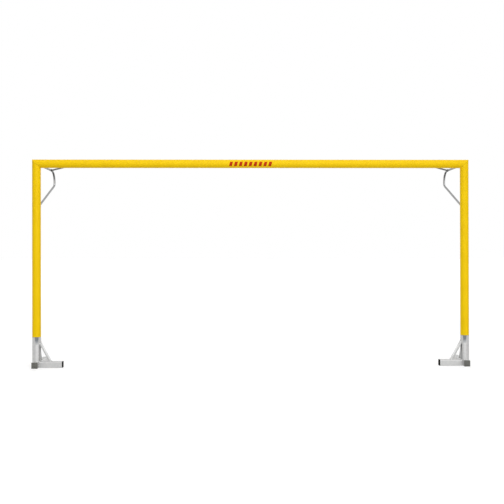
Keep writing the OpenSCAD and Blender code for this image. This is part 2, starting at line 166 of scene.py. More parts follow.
def hexagon_ring(corner: float, height: float, cone: float | None = None, rise: float = 1,
                 count: int = 48) -> Chain:
    """Points of a hexagon about the Z axis.

    Args:
        corner: Distance from the middle to a corner.
        height: Height of the ring.
        cone: Radius at which a 30 degree chamfer meets the height; None leaves the ring level.
        rise: 1 where the cone opens downwards from the height, -1 where it opens upwards.
        count: Points in the ring, a multiple of 6.

    Returns:
        The ring's points.
    """
    sector, chamfer = math.pi / 3, math.tan(math.radians(30))
    points = []
    for a in angles(count):
        reach = corner * math.cos(sector / 2) / math.cos(a % sector - sector / 2)
        drop = 0.0 if cone is None else max(0.0, reach - cone) * chamfer
        points.append(Vector((reach * math.cos(a), reach * math.sin(a), height - rise * drop)))
    return points


def pattern(name: str, points: Chain, faces: list[tuple]) -> Object:
    """Make a smooth pattern piece, to be copied and then discarded.

    Args:
        name: Name of the piece.
        points: Its points.
        faces: Numbers of each face's points.

    Returns:
        The piece.
    """
    mesh = mesh_from(name, points, faces)
    smooth_by_angle(mesh)
    return mesh_object(name, mesh)


# ---- Nodes ----

MATH, MAP_RANGE, MIX = "ShaderNodeMath", "ShaderNodeMapRange", "ShaderNodeMix"
SEPARATE, TEXTURE_PLACE = "ShaderNodeSeparateXYZ", "ShaderNodeTexCoord"
# Numbers of a colour mix's sockets: its share, its two colours and the mixed colour.
SHARE, FIRST, SECOND, MIXED = 0, 6, 7, 2
WHITE = (1, 1, 1, 1)
# Middle of a noise's values, and the stretch that holds most of them.
NOISE_MIDDLE, CLOUDS = 0.5, (0.3, 0.7)


class Nodes:
    """A node tree that is built up one node at a time."""

    def __init__(self, tree: NodeTree) -> None:
        """Take a tree and empty it."""
        self.tree = tree
        tree.nodes.clear()

    def add(self, kind: str, feeds: dict | Sequence = (), **settings: str) -> Node:
        """Add a node, set it up and feed its inputs.

        Args:
            kind: Blender's identifier of the node's type.
            feeds: What the inputs get, by name or number or in their order: a constant, a socket,
                or a node, which stands for its first output.
            settings: The node's own properties.

        Returns:
            The new node.
        """
        made = self.tree.nodes.new(kind)
        for name, value in settings.items():
            setattr(made, name, value)
        for key, value in feeds.items() if isinstance(feeds, dict) else enumerate(feeds):
            if isinstance(value, Node):
                value = value.outputs[0]
            if isinstance(value, NodeSocket):
                self.tree.links.new(value, made.inputs[key])
            else:
                made.inputs[key].default_value = value
        return made


def new_material(name: str) -> tuple[Material, Nodes]:
    """Make an empty material.

    Args:
        name: Name of the material.

    Returns:
        The material and its nodes.
    """
    material = bpy.data.materials.new(name)
    material.use_nodes = True
    return material, Nodes(material.node_tree)


def blotches(nodes: Nodes, size: float, detail: float = 3, scale: Vector | None = None) -> Node:
    """Lay cloudy noise on the object.

    Args:
        nodes: Shader tree.
        size: Size of one blotch in metres.
        detail: Octaves of finer noise.
        scale: Factor on each axis before the noise; under 1 draws the pattern out along it.

    Returns:
        The noise, from 0 to 1.
    """
    place = nodes.add(TEXTURE_PLACE).outputs["Object"]
    if scale is not None:
        place = nodes.add("ShaderNodeMapping", {"Vector": place, "Scale": scale})
    return nodes.add("ShaderNodeTexNoise", {"Vector": place, "Scale": 1 / size, "Detail": detail})


# ---- Layout ----

class Side(Enum):
    """Which half of the goal a piece belongs to; the value is the sign of its X."""

    LEFT = -1
    RIGHT = 1

    def node(self, name: str) -> str:
        """Name of this side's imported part."""
        return f"{self.name.lower()}_{name}"


@dataclass(frozen=True)
class Layout:
    """Main axes and levels of the goal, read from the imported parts, and where its fittings are."""

    post_x: float
    goal_y: float
    bar_z: float
    tube_r: float
    joint_z: float
    beam_top: float
    hinge_back: float = 0.085
    low_hinge_drop: float = 0.558
    stay_inward: float = 0.480
    bracket_half_height: float = 0.0313
    lock_rise: float = 0.060

    @classmethod
    def read(cls) -> "Layout":
        """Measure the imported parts.

        Returns:
            The layout.
        """
        bar_low, bar_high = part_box("crossbar")
        post_low, post_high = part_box("right_post")
        _, beam_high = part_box("right_long_beam")
        return cls(
            post_x=(post_low.x + post_high.x) / 2,
            goal_y=(bar_low.y + bar_high.y) / 2,
            bar_z=(bar_low.z + bar_high.z) / 2,
            tube_r=(bar_high.z - bar_low.z) / 2,
            joint_z=post_low.z,
            beam_top=beam_high.z,
        )

    def point(self, side: Side, inward: float, back: float, height: float) -> Vector:
        """Point given by its distance inward and back from a post's axis, and its height."""
        return Vector((side.value * (self.post_x - inward), self.goal_y + back, height))

    def direction(self, side: Side, inward: float, back: float) -> Vector:
        """Level direction given in the same way."""
        return Vector((-side.value * inward, back, 0)).normalized()


# ---- Dirt and painted reflection ----

@dataclass(frozen=True)
class DirtAndReflection:
    """Dark marks on a tube, in places that the goal's own axes and levels give: dust in joints, and
    a painted dark reflection.
    """

    layout: Layout
    colour: str

    def lay(self, nodes: Nodes, tint: NodeSocket) -> NodeSocket:
        """Lay the marks over a colour.

        Args:
            nodes: Shader tree.
            tint: The clean surface's colour.

        Returns:
            The marked colour.
        """
        place = nodes.add(TEXTURE_PLACE).outputs["Object"]
        cover = self.cover(nodes, *nodes.add(SEPARATE, [place]).outputs)
        feeds = {SHARE: cover, FIRST: tint, SECOND: linear(self.colour)}
        return nodes.add(MIX, feeds, data_type="RGBA").outputs[MIXED]

    def cover(self, nodes: Nodes, x: NodeSocket, y: NodeSocket, z: NodeSocket) -> Node:
        """Share of the surface that is covered, which each kind of mark works out."""
        raise NotImplementedError


@dataclass(frozen=True)
class JointLineAndReflection(DirtAndReflection):
    """Marks under a ground post's joint: a dark line at the joint and, on the front, a V-shaped
    streak of painted dark reflection.
    """

    # Blue-grey of the joint line and of the painted dark reflection.
    colour: str = "#585E64"
    # The streak's middle is turned inward from straight ahead.
    turn: float = math.radians(17)
    half_width: float = 0.025
    narrowed: float = 0.014
    # Its edge wanders by this much, in waves of the same size, and blurs over the stretch below.
    wander: float = 0.012
    blur: tuple[float, float] = (-0.004, 0.005)
    # The streak is even down to here and has faded away at its length.
    held: float = 0.045
    length: float = 0.110
    strength: float = 0.85
    line: float = 0.007
    line_strength: float = 0.35

    def cover(self, nodes: Nodes, x: NodeSocket, y: NodeSocket, z: NodeSocket) -> Node:
        """Work out how much of the metal the joint line and the painted reflection cover.

        Args:
            nodes: Shader tree.
            x: Place along the crossbar.
            y: Place behind the goal.
            z: Height.

        Returns:
            The share that is covered.
        """
        outward = nodes.add(MATH, [x], operation="ABSOLUTE")
        inward = nodes.add(MATH, [self.layout.post_x, outward], operation="SUBTRACT")
        back = nodes.add(MATH, [y, self.layout.goal_y], operation="SUBTRACT")
        drop = nodes.add(MATH, [self.layout.joint_z, z], operation="SUBTRACT")
        turned_in = nodes.add(MATH, [inward, math.cos(self.turn)], operation="MULTIPLY")
        turned_back = nodes.add(MATH, [back, math.sin(self.turn)], operation="MULTIPLY")
        aside = nodes.add(MATH, [turned_in, turned_back], operation="ADD")
        off_middle = nodes.add(MATH, [aside], operation="ABSOLUTE")
        noise = blotches(nodes, self.wander)
        offset = nodes.add(MATH, [noise, NOISE_MIDDLE], operation="SUBTRACT")
        wave = nodes.add(MATH, [offset, self.wander], operation="MULTIPLY")
        wavy = nodes.add(MATH, [off_middle, wave], operation="ADD")
        # The V-shaped streak on the front is a painted dark reflection; the thin line at the joint
        # is a dark joint.
        edge = nodes.add(MAP_RANGE, [drop, 0, self.length, self.half_width, self.narrowed])
        depth = nodes.add(MATH, [edge, wavy], operation="SUBTRACT")
        inside = nodes.add(MAP_RANGE, [depth, *self.blur, 0, 1])
        fading = nodes.add(MAP_RANGE, [drop, self.held, self.length, self.strength, 0])
        streak = nodes.add(MATH, [inside, fading], operation="MULTIPLY")
        front = nodes.add(MATH, [back, 0], operation="LESS_THAN")
        front_streak = nodes.add(MATH, [streak, front], operation="MULTIPLY")
        line = nodes.add(MAP_RANGE, [drop, 0, self.line, self.line_strength, 0])
        return nodes.add(MATH, [front_streak, line], operation="MAXIMUM")


@dataclass(frozen=True)
class SeamDirt(DirtAndReflection):
    """Dust in the coated tubes' open joints: the corners' mitres and the posts' lower rims."""

    colour: str = "#5B5037"
    # The dust is full in a joint's core and has ended at its half width.
    half_width: float = 0.0008
    core: float = 0.00048
    strength: float = 0.85
    rim: float = 0.004
    rim_strength: float = 0.51

    def cover(self, nodes: Nodes, x: NodeSocket, _: NodeSocket, z: NodeSocket) -> Node:
        """Work out how much of the coat the dust covers.

        Args:
            nodes: Shader tree.
            x: Place along the crossbar.
            _: Place behind the goal, which the dust doesn't depend on.
            z: Height.

        Returns:
            The share that is covered.
        """
        out = nodes.add(MATH, [x], operation="ABSOLUTE")
        past_post = nodes.add(MATH, [out, self.layout.post_x], operation="SUBTRACT")
        over_bar = nodes.add(MATH, [z, self.layout.bar_z], operation="SUBTRACT")
        apart = nodes.add(MATH, [past_post, over_bar], operation="SUBTRACT")
        off_line = nodes.add(MATH, [apart], operation="ABSOLUTE")
        # The mitre lies at 45 degrees.
        off_mitre = nodes.add(MATH, [off_line, math.sqrt(0.5)], operation="MULTIPLY")
        mitre = nodes.add(MAP_RANGE, [off_mitre, self.core, self.half_width, self.strength, 0])
        over_joint = nodes.add(MATH, [z, self.layout.joint_z], operation="SUBTRACT")
        rim = nodes.add(MAP_RANGE, [over_joint, 0, self.rim, self.rim_strength, 0])
        return nodes.add(MATH, [mitre, rim], operation="MAXIMUM")


# ---- Finishes ----

class Grain(Enum):
    """Direction in which a drawn or rolled metal surface shows its fine lines."""

    ALONG_X = (1, 0, 0)
    ALONG_Y = (0, 1, 0)
    ALONG_Z = (0, 0, 1)


@dataclass(frozen=True)
class Finish:
    """Surface whose colour and roughness change in soft patches, with dark marks and texture or
    without.

    The colour runs from the first to the second shade, and the roughness from its first to its
    second value. A texture is a fine grit; its size and depth are 0 where the surface has none.
    """

    name: str
    colour: str
    shade: str
    patch: float = 0.02
    patch_detail: float = 3
    roughness: tuple[float, float] = (0.4, 0.5)
    metallic: float = 0.0
    gloss: float = 0.5
    texture: float = 0.0
    texture_depth: float = 0.0
    texture_strength: float = 0.5
    dirt_and_shade: DirtAndReflection | None = None

    def make(self) -> Material:
        """Build the material.

        Returns:
            The material.
        """
        material, nodes = new_material(self.name)
        patches = blotches(nodes, self.patch, self.patch_detail)
        feeds = {"Roughness": nodes.add(MAP_RANGE, [patches, *CLOUDS, *self.roughness]),
                 "Metallic": self.metallic, "Specular IOR Level": self.gloss,
                 **self.layers(nodes, patches)}
        if self.dirt_and_shade is not None:
            feeds["Base Color"] = self.dirt_and_shade.lay(nodes, feeds["Base Color"])
        shader = nodes.add("ShaderNodeBsdfPrincipled", feeds)
        nodes.add("ShaderNodeOutputMaterial", [shader])
        return material

    def layers(self, nodes: Nodes, patches: Node) -> dict[str, NodeSocket | Node]:
        """Lay out the clean surface.

        Args:
            nodes: Shader tree.
            patches: Pattern that the colour follows.

        Returns:
            What the shader's "Base Color" gets, and its "Normal" where there is a texture.
        """
        tint = self.shades(nodes, nodes.add(MAP_RANGE, [patches, *CLOUDS, 0, 1]))
        if not self.texture:
            return {"Base Color": tint}
        grit = blotches(nodes, self.texture, detail=1)
        return {"Base Color": tint, "Normal": self.relief(nodes, grit)}

    def shades(self, nodes: Nodes, share: Node) -> NodeSocket:
        """Mix the two shades."""
        feeds = {SHARE: share, FIRST: linear(self.colour), SECOND: linear(self.shade)}
        return nodes.add(MIX, feeds, data_type="RGBA").outputs[MIXED]

    def relief(self, nodes: Nodes, height: Node) -> Node:
        """Raise the texture's pattern as a bump of its real depth."""
        return nodes.add("ShaderNodeBump", {"Height": height, "Distance": self.texture_depth,
                                            "Strength": self.texture_strength})


@dataclass(frozen=True)
class PowderCoat(Finish):
    """Baked polyester powder on a tube: even colour, soft gloss and a fine orange-peel texture."""

    name: str = "powder_coat_yellow"
    colour: str = "#F6CE03"
    shade: str = "#F1C703"
    patch: float = 0.22
    # Sand has dulled the gloss, so less shines back than from fresh coat.
    gloss: float = 0.12
    # The real peel is 1 to 2 mm, too fine to show on the whole goal, so it is drawn at 4 mm.
    texture: float = 0.004
    texture_depth: float = 0.00004


@dataclass(frozen=True)
class MillAluminium(Finish):
    """Extruded or rolled aluminium left bare: fine lines along the bar under patchy grey oxide."""

    colour: str = "#C2C2C1"
    shade: str = "#B8B8B8"
    patch: float = 0.035
    patch_detail: float = 4
    roughness: tuple[float, float] = (0.36, 0.52)
    metallic: float = 1.0
    # Die lines are 0.1 to 0.5 mm wide and are drawn at 1.5 mm, so that they show as a sheen.
    texture: float = 0.0015
    texture_depth: float = 0.00004
    texture_strength: float = 0.6
    grain: Grain = Grain.ALONG_Z
    # Scale of the lines along the bar, which draws them out to 250 times their width.
    drawn_out: float = 0.004
    groove: str = "#A3A4A4"
    groove_strength: float = 0.5
    # Stretch of the lines' noise over which the groove's colour comes in.
    groove_span: tuple[float, float] = (0.45, 0.7)

    def layers(self, nodes: Nodes, patches: Node) -> dict[str, NodeSocket | Node]:
        """Lay out the oxide and the die lines.

        Args:
            nodes: Shader tree.
            patches: Pattern of the oxide.

        Returns:
            What the shader's "Base Color" and "Normal" get.
        """
        stretch = Vector(self.drawn_out if along else 1.0 for along in self.grain.value)
        lines = blotches(nodes, self.texture, detail=2, scale=stretch)
        tint = self.shades(nodes, nodes.add(MAP_RANGE, [patches, *CLOUDS, 0, 1]))
        depth = nodes.add(MAP_RANGE, [lines, *self.groove_span, 0, self.groove_strength])
        feeds = {SHARE: depth, FIRST: tint, SECOND: linear(self.groove)}
        return {"Base Color": nodes.add(MIX, feeds, data_type="RGBA").outputs[MIXED],
                "Normal": self.relief(nodes, lines)}


@dataclass(frozen=True)
class ZincCoat(Finish):
    """Steel tube with a hot-dipped zinc skin: dull grey crystals nearly a centimetre wide."""

    colour: str = "#A3A3A3"
    shade: str = "#919191"
    patch: float = 0.05
    roughness: tuple[float, float] = (0.24, 0.34)
    metallic: float = 1.0
    crystal: float = 0.009
    # Painted shade: the side that faces down is darkened, as if it lay in shade.
    underside_shade: str = "#3E3E3C"
    underside_shade_strength: float = 0.85
    # Upward part of the surface's normal where the painted shade is full and where it ends.
    underside_shade_span: tuple[float, float] = (-0.65, 0.0)
    # Width of the band in which the patches move those two.
    underside_shade_wander: float = 0.5

    def layers(self, nodes: Nodes, patches: Node) -> dict[str, NodeSocket | Node]:
        """Lay out the crystals and the painted shade on the underside.

        Args:
            nodes: Shader tree.
            patches: Pattern that the painted shade's edge follows.

        Returns:
            What the shader's "Base Color" gets.
        """
        place = nodes.add(TEXTURE_PLACE).outputs["Object"]
        cells = nodes.add("ShaderNodeTexVoronoi", {"Vector": place, "Scale": 1 / self.crystal})
        facet = nodes.add("ShaderNodeSeparateColor", [cells.outputs["Color"]])
        # Painted shade: darker where the normal points down, its edge moved by the patches.
        normal = nodes.add("ShaderNodeNewGeometry").outputs["Normal"]
        facing = nodes.add(SEPARATE, [normal]).outputs[2]
        offset = nodes.add(MATH, [patches, NOISE_MIDDLE], operation="SUBTRACT")
        wander = nodes.add(MATH, [offset, self.underside_shade_wander], operation="MULTIPLY")
        under = nodes.add(MATH, [facing, wander], operation="ADD")
        dirt_and_shade = nodes.add(MAP_RANGE, [under, *self.underside_shade_span, self.underside_shade_strength, 0])
        feeds = {SHARE: dirt_and_shade, FIRST: self.shades(nodes, facet), SECOND: linear(self.underside_shade)}
        return {"Base Color": nodes.add(MIX, feeds, data_type="RGBA").outputs[MIXED]}


@dataclass(frozen=True)
class BrightMetal(Finish):
    """Small bright metal with patchy tarnish: a zinc-plated screw, or a weld with soot on it."""

    patch: float = 0.008
    roughness: tuple[float, float] = (0.22, 0.4)
    metallic: float = 1.0


@dataclass(frozen=True)
class MouldedPlastic(Finish):
    """Injection-moulded plastic with a fine spark-eroded texture, dusty in patches."""

    roughness: tuple[float, float] = (0.5, 0.65)
    # Sand has matted the skin, so less shines back than from a fresh moulding.
    gloss: float = 0.2
    # The texture is about 0.1 mm and is drawn at 0.8 mm, so that it breaks the highlight.
    texture: float = 0.0008
    texture_depth: float = 0.00003


@dataclass(frozen=True)
class CutVinyl(Finish):
    """Cut self-adhesive vinyl: flat, even colour with a soft gloss."""

    patch: float = 0.05
    roughness: tuple[float, float] = (0.45, 0.55)
    gloss: float = 0.08


@dataclass
class Finishes:
    """Every finish on the goal, made once and shared."""

    coat: Material
    post_bar: Material
    upright_bar: Material
    long_bar: Material
    cross_bar: Material
    bow_zinc: Material
    stay_zinc: Material
    plated: Material
    weld: Material
    cap: Material
    lit_cap: Material
    hook: Material
    vinyl: Material

    @classmethod
    def mix(cls, layout: Layout) -> "Finishes":
        """Build every material.

        Args:
            layout: The goal's axes and levels, which the dark marks follow.

        Returns:
            The materials.
        """
        finishes = {
            "coat": PowderCoat(dirt_and_shade=SeamDirt(layout)),
            # The ground posts' metal has a dark joint line and a painted dark reflection under the
            # joint.
            "post_bar": MillAluminium("mill_aluminium_stained", dirt_and_shade=JointLineAndReflection(layout)),
            "upright_bar": MillAluminium("mill_aluminium_upright"),
            "long_bar": MillAluminium("mill_aluminium_lengthwise", grain=Grain.ALONG_Y),
            "cross_bar": MillAluminium("mill_aluminium_crosswise", grain=Grain.ALONG_X),
            "bow_zinc": ZincCoat("galvanised_steel"),
            # The level stay's painted shade reaches further up its sides than the bow's.
            "stay_zinc": ZincCoat("galvanised_steel_dusty", underside_shade_span=(-0.1, 0.8)),
            "plated": BrightMetal("zinc_plated_steel", "#B4B6B8", "#8F9193"),
            "weld": BrightMetal("aluminium_weld", "#CFCFCE", "#8E8C89", patch=0.012),
            # The caps that face inward are the shaded copy of the black cap plastic: painted shade,
            # darker and matter than the lit copy.
            "cap": MouldedPlastic("polyethylene_black", "#181817", "#242322",
                                  roughness=(0.8, 0.95), gloss=0.0),
            # The caps that face forward and back are the lit copy of the same black plastic: painted
            # light, a pale grey.
            "lit_cap": MouldedPlastic("polyethylene_scuffed", "#646460", "#72726D"),
            "hook": MouldedPlastic("nylon_white", "#E4E4DF", "#D6D5CD"),
            "vinyl": CutVinyl("vinyl_red", "#B42903", "#C23A06"),
        }
        return cls(**{name: finish.make() for name, finish in finishes.items()})


# ---- Geometry trees ----

class Tree(Nodes):
    """A Geometry Nodes tree with named inputs, for making one piece after another."""

    def __init__(self, name: str, inputs: dict[str, str]) -> None:
        """Make the tree's frame; its material input is added to the inputs.

        Args:
            name: The tree's name.
            inputs: Socket type of each named input.
        """
        super().__init__(bpy.data.node_groups.new(name, "GeometryNodeTree"))
        face = self.tree.interface
        face.new_socket("Geometry", in_out="INPUT", socket_type="NodeSocketGeometry")
        self.keys = {
            label: face.new_socket(label, in_out="INPUT", socket_type=kind).identifier
            for label, kind in {**inputs, "Material": "NodeSocketMaterial"}.items()
        }
        face.new_socket("Geometry", in_out="OUTPUT", socket_type="NodeSocketGeometry")
        self.entry = self.add("NodeGroupInput").outputs

    def close(self, geometry: Node) -> "Tree":
        """End the tree in Realize Instances and Set Material.

        Args:
            geometry: What the tree has made.

        Returns:
            The finished tree.
        """
        real = self.add("GeometryNodeRealizeInstances", {"Geometry": geometry})
        painted = self.add("GeometryNodeSetMaterial",
                           {"Geometry": real, "Material": self.entry["Material"]})
        self.add("NodeGroupOutput", [painted])
        return self

    def run(self, name: str, start: Mesh, values: dict) -> Object:
        """Run the tree on a mesh.

        Args:
            name: Name of the piece.
            start: Mesh that goes into the tree.
            values: Value of each named input.

        Returns:
            The finished piece, a plain mesh at the origin.
        """
        source = mesh_object(name + "_source", start)
        modifier = source.modifiers.new("made", "NODES")
        modifier.node_group = self.tree
        for label, value in values.items():
            modifier[self.keys[label]] = value
        return plain_copy(source, name)


def plain_copy(source: Object, name: str) -> Object:
    """Bake an object's modifiers into a new plain mesh, and discard the source.

    Args:
        source: Object with live modifiers.
        name: Name of the new piece.

    Returns:
        The new piece.
    """
    bpy.context.view_layer.update()
    graph = bpy.context.evaluated_depsgraph_get()
    mesh = bpy.data.meshes.new_from_object(source.evaluated_get(graph))
    mesh.name = name
    bpy.data.objects.remove(source)
    return mesh_object(name, mesh)


def weld_tree() -> Tree:
    """Tree that lays overlapping ripples of weld metal along chains of edges.

    Returns:
        The tree, with inputs for the ripples' pitch, the bead's width and the seed.
    """
    # A ripple is a sphere, made narrower or wider at random and drawn out over the next ones.
    sphere = {"Segments": 12, "Rings": 8, "Radius": 0.5}
    narrowest, widest, overlap = 0.86, 1.12, 1.9
    # Numbers of the random value's sockets for a plain number: lowest, highest and drawn.
    lowest, highest, drawn = 2, 3, 1
    made = Tree("weld_bead", {"Pitch": "NodeSocketFloat", "Width": "NodeSocketFloat",
                              "Seed": "NodeSocketInt"})
    entry = made.entry
    path = made.add("GeometryNodeMeshToCurve", {"Mesh": entry["Geometry"]})
    steps = made.add("GeometryNodeResampleCurve", {"Curve": path, "Length": entry["Pitch"]},
                     mode="LENGTH")
    tangent = made.add("GeometryNodeInputTangent")
    turn = made.add("FunctionNodeAlignRotationToVector", {"Vector": tangent}, axis="Z")
    ripple = made.add("GeometryNodeSetShadeSmooth",
                      {"Geometry": made.add("GeometryNodeMeshUVSphere", sphere)})
    uneven = made.add("FunctionNodeRandomValue",
                      {lowest: narrowest, highest: widest, "Seed": entry["Seed"]},
                      data_type="FLOAT")
    width = made.add(MATH, [entry["Width"], uneven.outputs[drawn]], operation="MULTIPLY")
    depth = made.add(MATH, [entry["Pitch"], overlap], operation="MULTIPLY")
    size = made.add("ShaderNodeCombineXYZ", [width, width, depth])
    return made.close(made.add("GeometryNodeInstanceOnPoints",
                               {"Points": steps, "Instance": ripple, "Rotation": turn,
                                "Scale": size}))


def repeat_tree() -> Tree:
    """Tree that sets a copy of one piece on every point, its Z axis outward and its Y axis up.

    Returns:
        The tree, with an input for the piece.
    """
    made = Tree("repeated_piece", {"Piece": "NodeSocketObject"})
    piece = made.add("GeometryNodeObjectInfo", {"Object": made.entry["Piece"]})
    directions = [made.add("GeometryNodeInputNamedAttribute", {"Name": name},
                           data_type="FLOAT_VECTOR").outputs["Attribute"]
                  for name in ("outward", "up")]
    turn = made.add("FunctionNodeAxesToRotation", directions, primary_axis="Z",
                    secondary_axis="Y")
    return made.close(made.add("GeometryNodeInstanceOnPoints",
                               {"Points": made.entry["Geometry"], "Rotation": turn,
                                "Instance": piece.outputs["Geometry"]}))


def sweep_tree() -> Tree:
    """Tree that draws a round bar along chains of edges.

    Returns:
        The tree, with inputs for the bar's radius and its number of sides.
    """
    made = Tree("round_bar", {"Radius": "NodeSocketFloat", "Sides": "NodeSocketInt"})
    path = made.add("GeometryNodeMeshToCurve", {"Mesh": made.entry["Geometry"]})
    outline = made.add("GeometryNodeCurvePrimitiveCircle",
                       {"Resolution": made.entry["Sides"], "Radius": made.entry["Radius"]},
                       mode="RADIUS")
    return made.close(made.add("GeometryNodeCurveToMesh", {"Curve": path, "Fill Caps": True,
                                                           "Profile Curve": outline}))


@dataclass
class Place:
    """Where one copy of a repeated piece goes."""

    point: Vector
    outward: Vector
    up: Vector


@dataclass(frozen=True)
class Bead:
    """A weld bead's width, the pitch of its ripples and the seed of their unevenness."""

    width: float
    pitch: float
    seed: int


def points_mesh(name: str, places: list[Place]) -> Mesh:
    """Make a mesh of loose points that carry each copy's directions.

    Args:
        name: Name of the mesh.
        places: Where the copies go.

    Returns:
        The mesh, with the attributes "outward" and "up".
    """
    mesh = mesh_from(name, [p.point for p in places], [])
    for label in ("outward", "up"):
        directions = mesh.attributes.new(label, "FLOAT_VECTOR", "POINT")
        directions.data.foreach_set("vector", [x for p in places for x in getattr(p, label)])
    return mesh


def chains_mesh(name: str, chains: list[Chain]) -> Mesh:
    """Make a mesh of open chains of edges.

    Args:
        name: Name of the mesh.
        chains: Points of each chain, in order.

    Returns:
        The mesh.
    """
    edges, start = [], 0
    for chain in chains:
        edges += [(i, i + 1) for i in range(start, start + len(chain) - 1)]
        start += len(chain)
    return mesh_from(name, [p for chain in chains for p in chain], [], edges)


@dataclass
class Workshop:
    """The geometry trees, made once and shared by every sub-assembly."""

    weld: Tree = field(default_factory=weld_tree)
    repeat: Tree = field(default_factory=repeat_tree)
    sweep: Tree = field(default_factory=sweep_tree)

    def beads(self, name: str, chains: list[Chain], material: Material, bead: Bead) -> Object:
        """Lay weld beads along chains of points, as one piece."""
        values = {"Pitch": bead.pitch, "Width": bead.width, "Seed": bead.seed}
        return self.weld.run(name, chains_mesh(name, chains), {**values, "Material": material})

    def copies(self, name: str, places: list[Place], piece: Object, material: Material) -> Object:
        """Repeat a pattern piece, which stays in the scene until it is discarded."""
        values = {"Piece": piece, "Material": material}
        return self.repeat.run(name, points_mesh(name, places), values)

    def bar(self, name: str, chain: Chain, radius: float, material: Material, sides: int) -> Object:
        """Draw a round bar along a chain of points."""
        values = {"Radius": radius, "Sides": sides, "Material": material}
        return self.sweep.run(name, chains_mesh(name, [chain]), values)


# ---- Dressing ----

# Points this close and faces this level are one; edges over this many degrees are rounded.
SAME_POINT, SAME_FACE, SHARP_EDGE = 1e-5, math.radians(0.5), 40
ROUNDING_STEPS = 2


def dress(node: str, material: Material) -> None:
    """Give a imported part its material.

    Args:
        node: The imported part.
        material: Its finish.
    """
    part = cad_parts[node]
    part.data.materials.clear()
    part.data.materials.append(material)


def stand_in(piece: Object, body: str, slot: str, *nodes: str) -> None:
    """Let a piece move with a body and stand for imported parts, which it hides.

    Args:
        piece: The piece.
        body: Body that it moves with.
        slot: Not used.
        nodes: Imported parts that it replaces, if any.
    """
    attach(piece, body)
    if nodes:
        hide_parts(*nodes)


def soften(node: str, body: str, material: Material, slot: str, round_edge: float) -> None:
    """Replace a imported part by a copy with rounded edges.

    Args:
        node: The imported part.
        body: Body that it moves with.
        material: Its finish.
        slot: Its material slot.
        round_edge: Width of the rounding.
    """
    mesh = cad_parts[node].data.copy()
    shape = bmesh.new()
    shape.from_mesh(mesh)
    bmesh.ops.remove_doubles(shape, verts=shape.verts, dist=SAME_POINT)
    bmesh.ops.dissolve_limit(shape, angle_limit=SAME_FACE, verts=shape.verts, edges=shape.edges)
    shape.to_mesh(mesh)
    shape.free()
    mesh.materials.clear()
    mesh.materials.append(material)
    source = mesh_object(node + "_source", mesh)
    bevel = source.modifiers.new("rounding", "BEVEL")
    bevel.width = round_edge
    bevel.segments = ROUNDING_STEPS
    bevel.limit_method = "ANGLE"
    bevel.angle_limit = math.radians(SHARP_EDGE)
    piece = plain_copy(source, node + "_rounded")
    smooth_by_angle(piece.data, SHARP_EDGE)
    stand_in(piece, body, slot, node)


# ---- Sub-assemblies ----

@dataclass
class SubAssembly:
    """What every sub-assembly is built from."""

    layout: Layout
    finishes: Finishes
    shop: Workshop


@dataclass
class GoalMouth(SubAssembly):
    """Crossbar and posts with the fittings welded to them."""

    edge_round: float = 0.0012
    bracket_half_width: float = 0.016
    boss_r: float = 0.015
    bead: Bead = Bead(0.006, 0.0026, 3)
    # Points of a seam's line, along one edge of a bracket and round a boss.
    edge_steps: int = 14
    boss_steps: int = 48

    def build(self) -> None:
        """Dress the coated tubes and weld the brackets on."""
        coat = self.finishes.coat
        dress("crossbar", coat)
        for side in Side:
            dress(side.node("post"), coat)
            for name in ("top_bracket", "lower_bracket", "stay_bracket", "lock_boss"):
                soften(side.node(name), "frame", coat, "coated_tube", self.edge_round)
        chains = [chain for side in Side for chain in self.seams(side)]
        seams = self.shop.beads("coated_seams", chains, coat, self.bead)
        stand_in(seams, "frame", "coated_tube")
        log.info("goal mouth: %d coated seams", len(chains))

    def seams(self, side: Side) -> list[Chain]:
        """Middle lines of the coated welds on one side, each closed.

        Args:
            side: Half of the goal.

        Returns:
            The lines of the top, lower and stay brackets and of the lock boss.
        """
        layout = self.layout
        bar_z, lock_z = layout.bar_z, layout.joint_z + layout.lock_rise
        low_z = bar_z - layout.low_hinge_drop
        foot, boss = self.bracket_foot(), circle(self.boss_r, self.boss_steps)
        return [self.laid(foot, side, 0.0, bar_z, True, True),
                self.laid(foot, side, 0.0, low_z, True, False),
                self.laid(foot, side, layout.stay_inward, bar_z, False, True),
                self.laid(boss, side, 0.0, lock_z, True, False)]

    def bracket_foot(self) -> list[tuple[float, float]]:
        """Outline of a bracket's foot.

        Returns:
            Points inward and up from the bracket's middle.
        """
        w, h, steps = self.bracket_half_width, self.layout.bracket_half_height, self.edge_steps
        corners = [(-w, -h), (w, -h), (w, h), (-w, h), (-w, -h)]
        return [(x0 + (x1 - x0) * i / steps, z0 + (z1 - z0) * i / steps)
                for (x0, z0), (x1, z1) in zip(corners, corners[1:]) for i in range(steps)]

    def laid(self, outline: list[tuple[float, float]], side: Side, inward: float, height: float,
             on_post: bool, on_bar: bool) -> Chain:
        """Lay an outline on the tube or tubes behind the goal's mouth.

        Args:
            outline: Points inward and up from the outline's middle.
            side: Half of the goal.
            inward: Distance of the middle inward from the post's axis.
            height: Height of the middle.
            on_post: Whether the post is behind it.
            on_bar: Whether the crossbar is behind it.

        Returns:
            The closed line's points.
        """
        points = []
        for x, z in outline:
            # Outward of the mitre the post carries the fitting, inward of it the crossbar.
            off_axis = x if on_post and (not on_bar or z < -x) else z
            back = math.sqrt(self.layout.tube_r ** 2 - off_axis ** 2)
            points.append(self.layout.point(side, inward + x, back, height + z))
        return points + points[:1]


